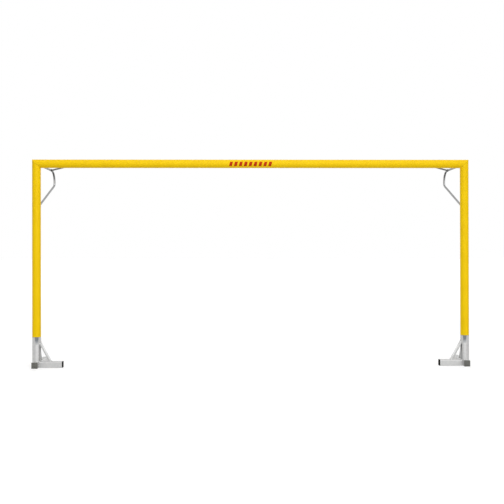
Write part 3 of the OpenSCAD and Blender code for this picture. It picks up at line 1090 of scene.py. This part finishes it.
@dataclass
class PrintedBars(SubAssembly):
    """Row of plain slanted red bars on the front of the crossbar."""

    count: int = 9
    pitch: float = 0.064
    width: float = 0.038
    # A bar goes this far round the tube, and its middle is turned down from straight ahead.
    arc: float = math.radians(62)
    turn: float = math.radians(-8)
    slant: float = 0.016
    shift: float = -0.014
    lift: float = 0.0002
    rows: int = 10

    def build(self) -> None:
        """Lay the bars as one piece."""
        points, faces = [], []
        for index in range(self.count):
            middle = self.shift + (index - (self.count - 1) / 2) * self.pitch
            first = len(points)
            points += self.bar(middle)
            faces += [(a, a + 1, a + 3, a + 2) for a in range(first, first + 2 * self.rows, 2)]
        mesh = mesh_from("printed_bars", points, faces)
        mesh.materials.append(self.finishes.vinyl)
        smooth_by_angle(mesh)
        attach(mesh_object("printed_bars", mesh), "frame")
        log.info("printed bars: %d", self.count)

    def bar(self, middle: float) -> Chain:
        """Points of one bar, in pairs from its lower to its upper end.

        Args:
            middle: Place of the bar's middle along the crossbar.

        Returns:
            The points.
        """
        layout, radius = self.layout, self.layout.tube_r + self.lift
        points = []
        for share in (row / self.rows - 0.5 for row in range(self.rows + 1)):
            angle = self.turn + share * self.arc
            for edge in (-0.5, 0.5):
                points.append(Vector((middle + edge * self.width + share * self.slant,
                                      layout.goal_y - radius * math.cos(angle),
                                      layout.bar_z + radius * math.sin(angle))))
        return points


@dataclass
class GroundFoot(SubAssembly):
    """One plug-in foot: ground post, plug, beams, braces, caps and the welds between them."""

    side: Side
    beam_half: float = 0.040
    beam_corner: float = 0.009
    brace_half: float = 0.030
    brace_t: float = 0.020
    brace_top: float = 0.326
    side_foot: float = 0.190
    rear_foot: float = 0.150
    brace_round: float = 0.0025
    cap_round: float = 0.0015
    bead: Bead = Bead(0.009, 0.0032, 1)
    # A bead's middle line lies this far outside the faces that it joins.
    proud: float = 0.001
    # The bead round the post ends this share of the beam's half width outward of its middle.
    base_share: float = 0.82
    base_steps: int = 60
    crown_steps: int = 16

    def build(self) -> None:
        """Dress the foot's parts, round the edges of the small ones and weld them."""
        finishes, body = self.finishes, self.side.node("foot")
        bars = {"ground_post": finishes.post_bar, "plug_sleeve": finishes.upright_bar,
                "long_beam": finishes.long_bar, "side_beam": finishes.cross_bar}
        for name, material in bars.items():
            dress(self.side.node(name), material)
        for name in ("side_brace", "rear_brace"):
            soften(self.side.node(name), body, finishes.upright_bar, "bare_aluminium",
                   self.brace_round)
        # Forward and back caps take the painted-light copy, inward caps the painted-shade copy.
        caps = {"front_cap": finishes.lit_cap, "rear_cap": finishes.lit_cap,
                "side_cap": finishes.cap}
        for name, material in caps.items():
            soften(self.side.node(name), body, material, "beam_caps", self.cap_round)
        chains = self.weld_lines()
        welds = self.shop.beads(self.side.node("foot_welds"), chains, finishes.weld, self.bead)
        stand_in(welds, body, "bare_aluminium")
        log.info("%s: %d welds", body, len(chains))

    def point(self, inward: float, back: float, height: float) -> Vector:
        """Point about this foot's post axis."""
        return self.layout.point(self.side, inward, back, height)

    def weld_lines(self) -> list[Chain]:
        """Middle lines of all beads on the foot."""
        return [self.post_base_line(), *self.beam_seams(),
                *self.brace_lines(self.side_foot, False), *self.brace_lines(self.rear_foot, True)]

    def post_base_line(self) -> Chain:
        """Bead round the ground post on the beams, open on the overhanging outer side.

        Returns:
            The open line's points.
        """
        radius, top = self.layout.tube_r + self.proud, self.layout.beam_top
        start = math.acos(self.beam_half * self.base_share / self.layout.tube_r)
        span = FULL_TURN - 2 * start
        turns = (start + span * i / self.base_steps for i in range(self.base_steps + 1))
        return [self.point(-radius * math.cos(a), radius * math.sin(a), top) for a in turns]

    def beam_seams(self) -> list[Chain]:
        """Upright beads where the side beam butts the long beam.

        Returns:
            The lines in front of the side beam and behind it.
        """
        low, high = self.beam_corner, self.layout.beam_top - self.beam_corner
        edge = self.beam_half + self.proud
        return [[self.point(edge, back * edge, z) for z in (low, (low + high) / 2, high)]
                for back in (-1, 1)]

    def brace_lines(self, foot: float, to_rear: bool) -> list[Chain]:
        """Beads round a brace's foot and over its crown.

        Args:
            foot: Distance from the post's axis to the brace's end on its beam.
            to_rear: Whether the brace runs to the rear rather than inward.

        Returns:
            Two chains, the foot's and the crown's.
        """
        radius, top = self.layout.tube_r, self.layout.beam_top
        slope = (self.brace_top - top) / (foot - radius)
        fall = self.brace_t * math.hypot(1, slope)
        edge = self.brace_half + self.proud

        def at(out: float, across: float, height: float) -> Vector:
            """Point at a distance out along the brace and across it."""
            inward, back = (across, out) if to_rear else (out, across)
            return self.point(inward, back, height)

        def seat(across: float) -> tuple[float, float, float]:
            """Where the brace's upper face meets the ground post, in the same terms."""
            out = math.sqrt(radius ** 2 - across ** 2) + self.proud
            return out, across, top + (foot - out) * slope

        shares = (2 * i / self.crown_steps - 1 for i in range(self.crown_steps + 1))
        crown = [at(*seat(self.brace_half * share)) for share in shares]
        out, _, height = seat(self.brace_half)
        ends = [at(out, across, height - fall) for across in (-edge, edge)]
        heel = foot - fall / slope
        base = [at(heel, -edge, top), at(foot, -edge, top), at(foot + self.proud, 0, top),
                at(foot, edge, top), at(heel, edge, top)]
        return [base, [ends[0], *crown, ends[1]]]


@dataclass
class NetSupport(SubAssembly):
    """One net bow with its stay, and the welds at their eyes and cradle."""

    side: Side
    bow_r: float = 0.014
    bow_reach: float = 0.900
    # The bow's lower run would meet its upright run this far below the crossbar's axis.
    corner_drop: float = 0.198
    stay_r: float = 0.012
    eye_r: float = 0.015
    cradle_back: float = 0.725
    cradle_r: float = 0.0193
    bead: Bead = Bead(0.005, 0.0022, 5)
    ring_steps: int = 32

    def build(self) -> None:
        """Dress the bow and the stay, and weld them."""
        self.finish("bow", self.bow_welds(), self.finishes.bow_zinc)
        self.finish("stay", self.stay_welds(), self.finishes.stay_zinc)

    def finish(self, body: str, chains: list[Chain], zinc: Material) -> None:
        """Dress one tube and lay its welds.

        Args:
            body: "bow" or "stay".
            chains: Middle lines of its welds.
            zinc: Its finish.
        """
        dress(self.side.node("net_" + body), zinc)
        welds = self.shop.beads(self.side.node(body + "_welds"), chains, zinc, self.bead)
        stand_in(welds, self.side.node(body), "zinc_tube")
        log.info("%s: %d welds", self.side.node(body), len(chains))

    def bow_welds(self) -> list[Chain]:
        """Rings where the bow's two ends meet their eyes.

        Returns:
            The upper and the lower ring.
        """
        layout = self.layout
        slope = math.atan2(layout.low_hinge_drop - self.corner_drop,
                           self.bow_reach - layout.hinge_back)
        top = self.eye_ring(0.0, layout.bar_z, (0.0, 1.0), 0.0, self.bow_r)
        low_z = layout.bar_z - layout.low_hinge_drop
        return [top, self.eye_ring(0.0, low_z, (0.0, 1.0), slope, self.bow_r)]

    def stay_welds(self) -> list[Chain]:
        """Rings where the stay meets its eye and its cradle.

        Returns:
            The eye's and the cradle's ring.
        """
        layout = self.layout
        run = (-layout.stay_inward, self.cradle_back - layout.hinge_back)
        outward, back_share = -run[0] / math.hypot(*run), run[1] / math.hypot(*run)
        eye = self.eye_ring(layout.stay_inward, layout.bar_z, (-outward, back_share), 0.0,
                            self.stay_r)
        cradle = []
        for across, rise in circle(self.stay_r, self.ring_steps):
            gap = math.sqrt(self.cradle_r ** 2 - rise ** 2)
            back = self.cradle_back + (across - back_share * gap) / outward
            cradle.append(layout.point(self.side, gap, back, layout.bar_z + rise))
        return [eye, cradle + cradle[:1]]

    def eye_ring(self, inward: float, height: float, heading: tuple[float, float], slope: float,
                 tube_r: float) -> Chain:
        """Closed line where a round tube meets an upright eye.

        Args:
            inward: Distance of the eye inward from the post's axis.
            height: Height of the eye's middle.
            heading: Level direction of the tube, inward and back.
            slope: Angle of the tube above level.
            tube_r: Radius of the tube.

        Returns:
            The line's points.
        """
        in_step, back_step = heading
        points = []
        for across, lift in circle(tube_r, self.ring_steps):
            out = math.sqrt(self.eye_r ** 2 - across ** 2)
            rise = out * math.tan(slope) + lift / math.cos(slope)
            points.append(self.layout.point(
                self.side, inward + in_step * out - back_step * across,
                self.layout.hinge_back + back_step * out + in_step * across, height + rise))
        return points + points[:1]


# ---- Hardware ----

@dataclass(frozen=True)
class ButtonScrew:
    """Socket button-head screw, its seat at the origin."""

    shank_r: float = 0.005
    grip: float = 0.0132
    head_r: float = 0.00875
    head_h: float = 0.0055
    # The head's rim is upright for this share of its height, and round above by these degrees.
    rim_share: float = 0.35
    round_to: tuple[float, ...] = (0, 18, 36, 54)
    # Radius of the head's underside, as a share of the head's.
    seat_share: float = 0.96
    socket_r: float = 0.0035
    socket_depth: float = 0.003
    # Radius of the socket's chamfered lip, as a share of the socket's.
    lip_share: float = 1.18
    lip_drop: float = 0.0002

    def make(self) -> Object:
        """Pattern of the screw.

        Returns:
            The pattern piece.
        """
        r, h, s = self.head_r, self.head_h, self.socket_r
        dome = [ring(r * math.cos(t), h * (self.rim_share + (1 - self.rim_share) * math.sin(t)))
                for t in map(math.radians, self.round_to)]
        rings = [ring(self.shank_r, -self.grip), ring(self.shank_r, 0),
                 ring(r * self.seat_share, 0), *dome, ring(s * self.lip_share, h),
                 hexagon_ring(s, h - self.lip_drop), hexagon_ring(s, h - self.socket_depth)]
        return pattern("socket_screw_pattern", *loft(rings))


@dataclass(frozen=True)
class HingeBolt:
    """Hexagon bolt through a hinge bracket and its nut, about the hinge's middle."""

    seat: float
    shank_r: float = 0.006
    shank_chamfer: float = 0.0012
    shank_past_nut: float = 0.003
    hex_r: float = 0.0105
    hex_h: float = 0.008
    # Radius of the round face, as a share of the distance from the middle to a flat.
    face_share: float = 0.96
    washer_t: float = 0.0004
    # The head's top is dished inside this share of its face.
    dish_share: float = 0.9
    dish_drop: float = 0.0003
    dish_middle: float = 0.0005
    # The nut's bore opens by the first over a depth of the second.
    bore_chamfer: tuple[float, float] = (0.0007, 0.0006)

    @property
    def face_r(self) -> float:
        """Radius of the round face inside the corners' chamfer."""
        return self.hex_r * math.cos(math.pi / 6) * self.face_share

    def bolt(self) -> Object:
        """Pattern of the bolt, its head on the upper ear.

        Returns:
            The pattern piece.
        """
        r, face, chamfer = self.shank_r, self.face_r, self.shank_chamfer
        end, top = -self.seat - self.hex_h - self.shank_past_nut, self.seat + self.hex_h
        dish = top - self.dish_drop
        rings = [ring(r - chamfer, end), ring(r, end + chamfer), ring(r, self.seat),
                 ring(face, self.seat), hexagon_ring(self.hex_r, self.seat + self.washer_t),
                 hexagon_ring(self.hex_r, top, face), ring(face, top),
                 ring(face * self.dish_share, dish), ring(self.dish_middle, dish)]
        return pattern("hinge_bolt_pattern", *loft(rings))

    def nut(self) -> Object:
        """Pattern of the nut under the lower ear.

        Returns:
            The pattern piece.
        """
        r, face, (wider, deeper) = self.hex_r, self.face_r, self.bore_chamfer
        top, low = -self.seat, -self.seat - self.hex_h
        rings = [ring(self.shank_r, low + deeper), ring(self.shank_r + wider, low),
                 ring(face, low), hexagon_ring(r, low, face, -1), hexagon_ring(r, top, face),
                 ring(face, top)]
        return pattern("hinge_nut_pattern", *loft(rings))


@dataclass(frozen=True)
class LockScrew:
    """Threaded shank with a knurled head and a hexagon socket, about the post's axis."""

    shank_r: float = 0.006
    tip: float = 0.052
    tip_chamfer: float = 0.001
    thread_pitch: float = 0.0015
    thread_depth: float = 0.0006
    head: float = 0.075
    head_r: float = 0.011
    head_h: float = 0.012
    # Radius of the head's chamfered ends and of the knurl's valleys, as shares of the head's.
    edge_share: float = 0.9
    knurl_share: float = 0.955
    knurl_margin: float = 0.0014
    # The socket is as wide as the shank, and its lip this many times as wide.
    lip_share: float = 1.08
    lip_drop: float = 0.0003
    socket_depth: float = 0.006
    sides: int = 72

    def make(self) -> Object:
        """Pattern of the screw.

        Returns:
            The pattern piece.
        """
        r, big, n = self.shank_r, self.head_r, self.sides
        start, end = self.head, self.head + self.head_h
        turns = int((start - self.tip) / self.thread_pitch)
        thread = [ring(r - self.thread_depth * (i % 2),
                       self.tip + self.thread_pitch * (i + 1) / 2, n)
                  for i in range(2 * turns - 2)]
        knurl = [self.knurled(ring(big, z, n))
                 for z in (start + self.knurl_margin, end - self.knurl_margin)]
        rings = [ring(r - self.tip_chamfer, self.tip, n), *thread, ring(r, start, n),
                 ring(big * self.edge_share, start, n), *knurl,
                 ring(big * self.edge_share, end, n), ring(r * self.lip_share, end, n),
                 hexagon_ring(r, end - self.lip_drop, count=n),
                 hexagon_ring(r, end - self.socket_depth, count=n)]
        return pattern("lock_screw_pattern", *loft(rings))

    def knurled(self, rim: Chain) -> Chain:
        """Pull every other point of a rim in."""
        shares = (1.0 if i % 2 else self.knurl_share for i in range(len(rim)))
        return [Vector((p.x * k, p.y * k, p.z)) for p, k in zip(rim, shares)]


@dataclass(frozen=True)
class NetHook:
    """Hook of round rod bent back over its neck, with a collar and a stem in the tube's wall."""

    rod_r: float = 0.003
    neck: float = 0.014
    bend: float = 0.009
    bend_steps: int = 18
    collar_r: float = 0.009
    collar_t: float = 0.003
    # The collar's edge is upright up to this share of its thickness, and its top is narrower.
    collar_upright: float = 0.6
    collar_top: float = 0.86
    # The rod flares to this many times its radius where it leaves the collar.
    neck_flare: float = 1.5
    neck_rise: float = 0.002
    stem_r: float = 0.004
    stem_in: float = 0.009
    tip_round: tuple[float, ...] = (-84, -60, -40, -20, 0)
    sides: int = 20

    def make(self, shop: Workshop, material: Material) -> Object:
        """Pattern of the hook: the tube's surface at the origin, Z outward and the bend upward.

        Args:
            shop: Geometry trees.
            material: Finish of the rod while it is made.

        Returns:
            The pattern piece.
        """
        out = self.collar_t + self.neck
        turns = (math.pi * i / self.bend_steps for i in range(self.bend_steps + 1))
        arc = [Vector((0, self.bend - self.bend * math.cos(a), out + self.bend * math.sin(a)))
               for a in turns]
        rod = shop.bar("hook_rod", [Vector((0, 0, 0)), *arc], self.rod_r, material, self.sides)
        points = [v.co.copy() for v in rod.data.vertices]
        faces = [tuple(p.vertices) for p in rod.data.polygons]
        bpy.data.objects.remove(rod)
        for more_points, more_faces in (loft(self.collar()), loft(self.tip(out))):
            faces += [tuple(i + len(points) for i in f) for f in more_faces]
            points += more_points
        return pattern("hook_pattern", points, faces)

    def collar(self) -> list[Chain]:
        """Outline of the stem, the collar and the flare up to the neck.

        Returns:
            The rings from the stem's end to the neck.
        """
        sizes = [(self.stem_r, -self.stem_in), (self.stem_r, 0), (self.collar_r, 0),
                 (self.collar_r, self.collar_t * self.collar_upright),
                 (self.collar_r * self.collar_top, self.collar_t),
                 (self.rod_r * self.neck_flare, self.collar_t),
                 (self.rod_r, self.collar_t + self.neck_rise)]
        return [ring(radius, height, self.sides) for radius, height in sizes]

    def tip(self, out: float) -> list[Chain]:
        """Outline of the rod's rounded end.

        Args:
            out: Distance of the end from the tube's surface.

        Returns:
            The rings from the end inward.
        """
        middle = Vector((0, 2 * self.bend, out))
        return [[p + middle for p in
                 ring(self.rod_r * math.cos(t), self.rod_r * math.sin(t), self.sides)]
                for t in map(math.radians, self.tip_round)]


@dataclass
class Hardware(SubAssembly):
    """Screws, bolts, nuts and hooks, repeated from one pattern each, and the hidden connectors."""

    corner_screws: tuple[float, float] = (0.100, 0.150)
    plug_screw_drop: float = 0.035
    plug_screw_turn: float = math.radians(50)
    # Each bolt is turned by this angle from the one before it, as hands leave them.
    bolt_twist: float = 0.4
    hook_pitch: float = 0.250
    hook_margin: float = 0.060
    hook_tilt: float = math.radians(30)
    connector_arm: float = 0.190
    plug_up: float = 0.200
    # The crossbar's hooks keep this far from the middle of a stay's bracket.
    bracket_keep: float = 0.076

    def build(self) -> None:
        """Make the hardware from its patterns and dress what stays hidden."""
        self.screws()
        self.hinge_bolts()
        self.lock_screws()
        self.hooks()
        for side in Side:
            dress(side.node("corner_connector"), self.finishes.cross_bar)

    def repeat(self, name: str, places: list[Place], piece: Object, nodes: list[str],
               slot: str = "fasteners", body: str = "frame") -> None:
        """Copy a pattern to its places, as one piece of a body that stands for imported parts.

        Args:
            name: Name of the piece.
            places: Where the copies go.
            piece: The pattern.
            nodes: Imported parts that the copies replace.
            slot: Their material slot.
            body: Body that they move with.
        """
        materials = {"fasteners": self.finishes.plated, "net_hooks": self.finishes.hook}
        stand_in(self.shop.copies(name, places, piece, materials[slot]), body, slot, *nodes)
        log.info("%s: %d copies", name, len(places))

    def screws(self) -> None:
        """Socket button-head screws at the corners and the plugs, seated on the tubes."""
        layout, r, screw = self.layout, self.layout.tube_r, ButtonScrew().make()
        places = []
        for side in Side:
            for out in self.corner_screws:
                places.append(Place(layout.point(side, 0, r, layout.bar_z - out), BACK, UP))
                places.append(Place(layout.point(side, out, r, layout.bar_z), BACK, ACROSS))
        self.repeat("corner_screw_set", places, screw, [s.node("corner_screws") for s in Side])
        height = layout.joint_z - self.plug_screw_drop
        back = math.cos(self.plug_screw_turn)
        for side in Side:
            places = [Place(layout.point(side, r * inward, r * back, height),
                            layout.direction(side, inward, back), UP)
                      for inward in (math.sin(way * self.plug_screw_turn) for way in (-1, 1))]
            self.repeat(side.node("plug_screw_set"), places, screw, [side.node("plug_screws")],
                        body=side.node("foot"))
        bpy.data.objects.remove(screw)

    def hinge_bolts(self) -> None:
        """Hexagon bolts and nuts on the three hinge axes of each side."""
        layout = self.layout
        places = []
        for side in Side:
            for inward, drop in ((0.0, 0.0), (0.0, layout.low_hinge_drop),
                                 (layout.stay_inward, 0.0)):
                turn = self.bolt_twist * len(places)
                point = layout.point(side, inward, layout.hinge_back, layout.bar_z - drop)
                places.append(Place(point, UP, Vector((math.cos(turn), math.sin(turn), 0))))
        sizes = HingeBolt(layout.bracket_half_height)
        for kind, piece in (("bolts", sizes.bolt()), ("nuts", sizes.nut())):
            nodes = [side.node("hinge_" + kind) for side in Side]
            self.repeat("hinge_set_" + kind, places, piece, nodes)
            bpy.data.objects.remove(piece)

    def lock_screws(self) -> None:
        """Knurled socket screws in the lock bosses."""
        height = self.layout.joint_z + self.layout.lock_rise
        screw = LockScrew().make()
        places = [Place(self.layout.point(side, 0, 0, height), BACK, UP) for side in Side]
        self.repeat("lock_screw_set", places, screw, [side.node("lock_screw") for side in Side])
        bpy.data.objects.remove(screw)

    def hooks(self) -> None:
        """Net hooks behind the crossbar and the posts."""
        layout, r, tilt = self.layout, self.layout.tube_r, self.hook_tilt
        hook = NetHook().make(self.shop, self.finishes.hook)
        outward = Vector((0, math.cos(tilt), -math.sin(tilt)))
        up = Vector((0, math.sin(tilt), math.cos(tilt)))
        places = [Place(Vector((x, layout.goal_y, layout.bar_z)) + r * outward, outward, up)
                  for x in self.bar_hook_places()]
        self.repeat("crossbar_hook_set", places, hook, ["crossbar_net_hooks"], "net_hooks")
        for side in Side:
            places = [Place(layout.point(side, 0, r, z), BACK, UP)
                      for z in self.post_hook_places()]
            self.repeat(side.node("post_hook_set"), places, hook, [side.node("post_net_hooks")],
                        "net_hooks")
        bpy.data.objects.remove(hook)

    def post_hook_places(self) -> list[float]:
        """Heights of the hooks on a post.

        Returns:
            Heights under and over the lower hinge's bracket.
        """
        layout, keep = self.layout, self.layout.bracket_half_height + self.hook_margin
        hinge = layout.bar_z - layout.low_hinge_drop
        low = layout.joint_z + self.plug_up + self.hook_margin
        high = layout.bar_z - self.connector_arm - self.hook_margin
        return [*even_steps(low, hinge - keep, self.hook_pitch),
                *even_steps(hinge + keep, high, self.hook_pitch)]

    def bar_hook_places(self) -> list[float]:
        """Distances of the crossbar's hooks from the goal's middle.

        Returns:
            Places outward of the stays' brackets on both sides and between them.
        """
        stay = self.layout.post_x - self.layout.stay_inward
        end = self.layout.post_x - self.connector_arm - self.hook_margin
        outer = even_steps(stay + self.bracket_keep, end, self.hook_pitch)
        inner = even_steps(self.bracket_keep - stay, stay - self.bracket_keep, self.hook_pitch)
        return [*(-x for x in outer), *inner, *outer]


# ---- Studio ----

@dataclass(frozen=True)
class SoftSky:
    """A wide, soft patch of sky light; heading 0 shines from the front and 90 from the right."""

    name: str
    heading: float
    height: float
    strength: float
    width: float
    mirrored: bool = True

    def hang(self) -> None:
        """Put the light in the scene."""
        lamp = bpy.data.lights.new(self.name, "SUN")
        lamp.energy = self.strength
        lamp.angle = math.radians(self.width)
        made = bpy.data.objects.new(self.name, lamp)
        turn, rise = math.radians(self.heading), math.radians(self.height)
        level = math.cos(rise)
        source = Vector((math.sin(turn) * level, -math.cos(turn) * level, math.sin(rise)))
        made.rotation_euler = source.to_track_quat("Z", "Y").to_euler()
        made.visible_glossy = self.mirrored
        bpy.context.scene.collection.objects.link(made)


@dataclass(frozen=True)
class SoftBox:
    """A large soft lamp that faces a target on the goal."""

    name: str
    place: tuple[float, float, float]
    target: tuple[float, float, float]
    power: float
    width: float
    height: float

    def hang(self) -> None:
        """Put the lamp in the scene."""
        lamp = bpy.data.lights.new(self.name, "AREA")
        lamp.shape = "RECTANGLE"
        lamp.size, lamp.size_y = self.width, self.height
        lamp.energy = self.power
        made = bpy.data.objects.new(self.name, lamp)
        made.location = self.place
        aim = Vector(self.place) - Vector(self.target)
        made.rotation_euler = aim.to_track_quat("Z", "Y").to_euler()
        made.visible_camera = False
        bpy.context.scene.collection.objects.link(made)


@dataclass(frozen=True)
class Studio:
    """Plain pale floor, soft light and the camera."""

    eye: tuple[float, float, float] = (-0.18508, -9.58813, 1.4694)
    # The camera's turns from straight ahead, level and upright, in radians.
    heading: float = -0.020424
    tilt: float = 0.003224
    roll: float = -0.0020987
    lens: float = 50.04
    sensor: float = 36.0
    sight: float = 500.0
    floor_size: float = 400.0
    floor_colour: str = "#C8C8C8"
    floor_roughness: float = 0.9
    # The floor glows less round the goal, where the lamps reach it, so that shadows show there.
    near_glow: float = 0.48
    far_glow: float = 0.6
    glow_reach: tuple[float, float] = (4.0, 14.0)
    sky: float = 0.26
    lights: tuple[SoftSky | SoftBox, ...] = (
        SoftSky("key_sky", 20, 46, 1.35, 76),
        SoftSky("rear_fill", 175, 30, 1.3, 60, False),
        SoftSky("left_fill", -115, 25, 0.45, 60, False),
        SoftBox("front_box", (0.5, -7.0, 2.6), (0.0, -0.4, 1.4), 125, 6.5, 4.0),
        SoftBox("rear_box", (0.0, 6.0, 1.3), (0.0, -0.4, 0.3), 28, 3.2, 1.6),
        SoftBox("ceiling_bank", (0.3, -4.5, 9.5), (0.0, 0.3, 2.4), 140, 9.0, 4.0),
    )

    def build(self) -> None:
        """Set up the whole studio."""
        bpy.context.scene.view_settings.view_transform = "Standard"
        self.set_camera()
        self.lay_floor()
        self.light_world()
        for light in self.lights:
            light.hang()

    def set_camera(self) -> None:
        """Stand the camera in front of the goal at eye height."""
        camera = bpy.data.cameras.new("camera")
        camera.sensor_width = self.sensor
        camera.lens = self.lens
        camera.clip_end = self.sight
        made = bpy.data.objects.new("camera", camera)
        turn = (Matrix.Rotation(self.heading, 4, "Z")
                @ Matrix.Rotation(math.pi / 2 + self.tilt, 4, "X")
                @ Matrix.Rotation(self.roll, 4, "Z"))
        made.matrix_world = Matrix.Translation(self.eye) @ turn
        bpy.context.scene.collection.objects.link(made)
        bpy.context.scene.camera = made

    def lay_floor(self) -> None:
        """Lay the pale floor; it glows towards the camera so that only the shadows are grey."""
        half = self.floor_size / 2
        corners = [Vector((x * half, y * half, 0)) for x, y in ((-1, -1), (1, -1), (1, 1), (-1, 1))]
        mesh = mesh_from("floor", corners, [(0, 1, 2, 3)])
        material, nodes = new_material("studio_floor")
        place = nodes.add(TEXTURE_PLACE).outputs["Object"]
        distance = nodes.add("ShaderNodeVectorMath", [place], operation="LENGTH").outputs["Value"]
        glow = nodes.add(MAP_RANGE, [distance, *self.glow_reach, self.near_glow, self.far_glow])
        shown = nodes.add(MATH, [self.seen_directly(nodes), glow], operation="MULTIPLY")
        shader = nodes.add("ShaderNodeBsdfPrincipled", {
            "Base Color": linear(self.floor_colour), "Roughness": self.floor_roughness,
            "Specular IOR Level": 0.0, "Emission Color": WHITE, "Emission Strength": shown})
        nodes.add("ShaderNodeOutputMaterial", [shader])
        mesh.materials.append(material)
        mesh_object("floor", mesh)

    def light_world(self) -> None:
        """White world where it is seen or mirrored, and a softer sky where it only lights."""
        world = bpy.data.worlds.new("studio")
        world.use_nodes = True
        nodes = Nodes(world.node_tree)
        strength = nodes.add(MAP_RANGE, [self.seen_directly(nodes), 0, 1, self.sky, 1])
        sky = nodes.add("ShaderNodeBackground", {"Color": WHITE, "Strength": strength})
        nodes.add("ShaderNodeOutputWorld", [sky])
        bpy.context.scene.world = world

    @staticmethod
    def seen_directly(nodes: Nodes) -> Node:
        """Tell rays from the camera, mirrored rays and rays through glass from the rest.

        Args:
            nodes: Shader tree.

        Returns:
            1 for those rays, and 0 for the rest.
        """
        path = nodes.add("ShaderNodeLightPath").outputs
        seen = nodes.add(MATH, [path["Is Camera Ray"], path["Is Glossy Ray"]], operation="MAXIMUM")
        return nodes.add(MATH, [seen, path["Is Transmission Ray"]], operation="MAXIMUM")


def main() -> None:
    """Build the goal's looks and the studio."""
    logging.basicConfig(level=logging.INFO, format="%(name)s: %(message)s")
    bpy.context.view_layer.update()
    Studio().build()
    layout = Layout.read()
    base = layout, Finishes.mix(layout), Workshop()
    GoalMouth(*base).build()
    PrintedBars(*base).build()
    for side in Side:
        GroundFoot(*base, side).build()
        NetSupport(*base, side).build()
    Hardware(*base).build()


if __name__ == "__main__":
    main()
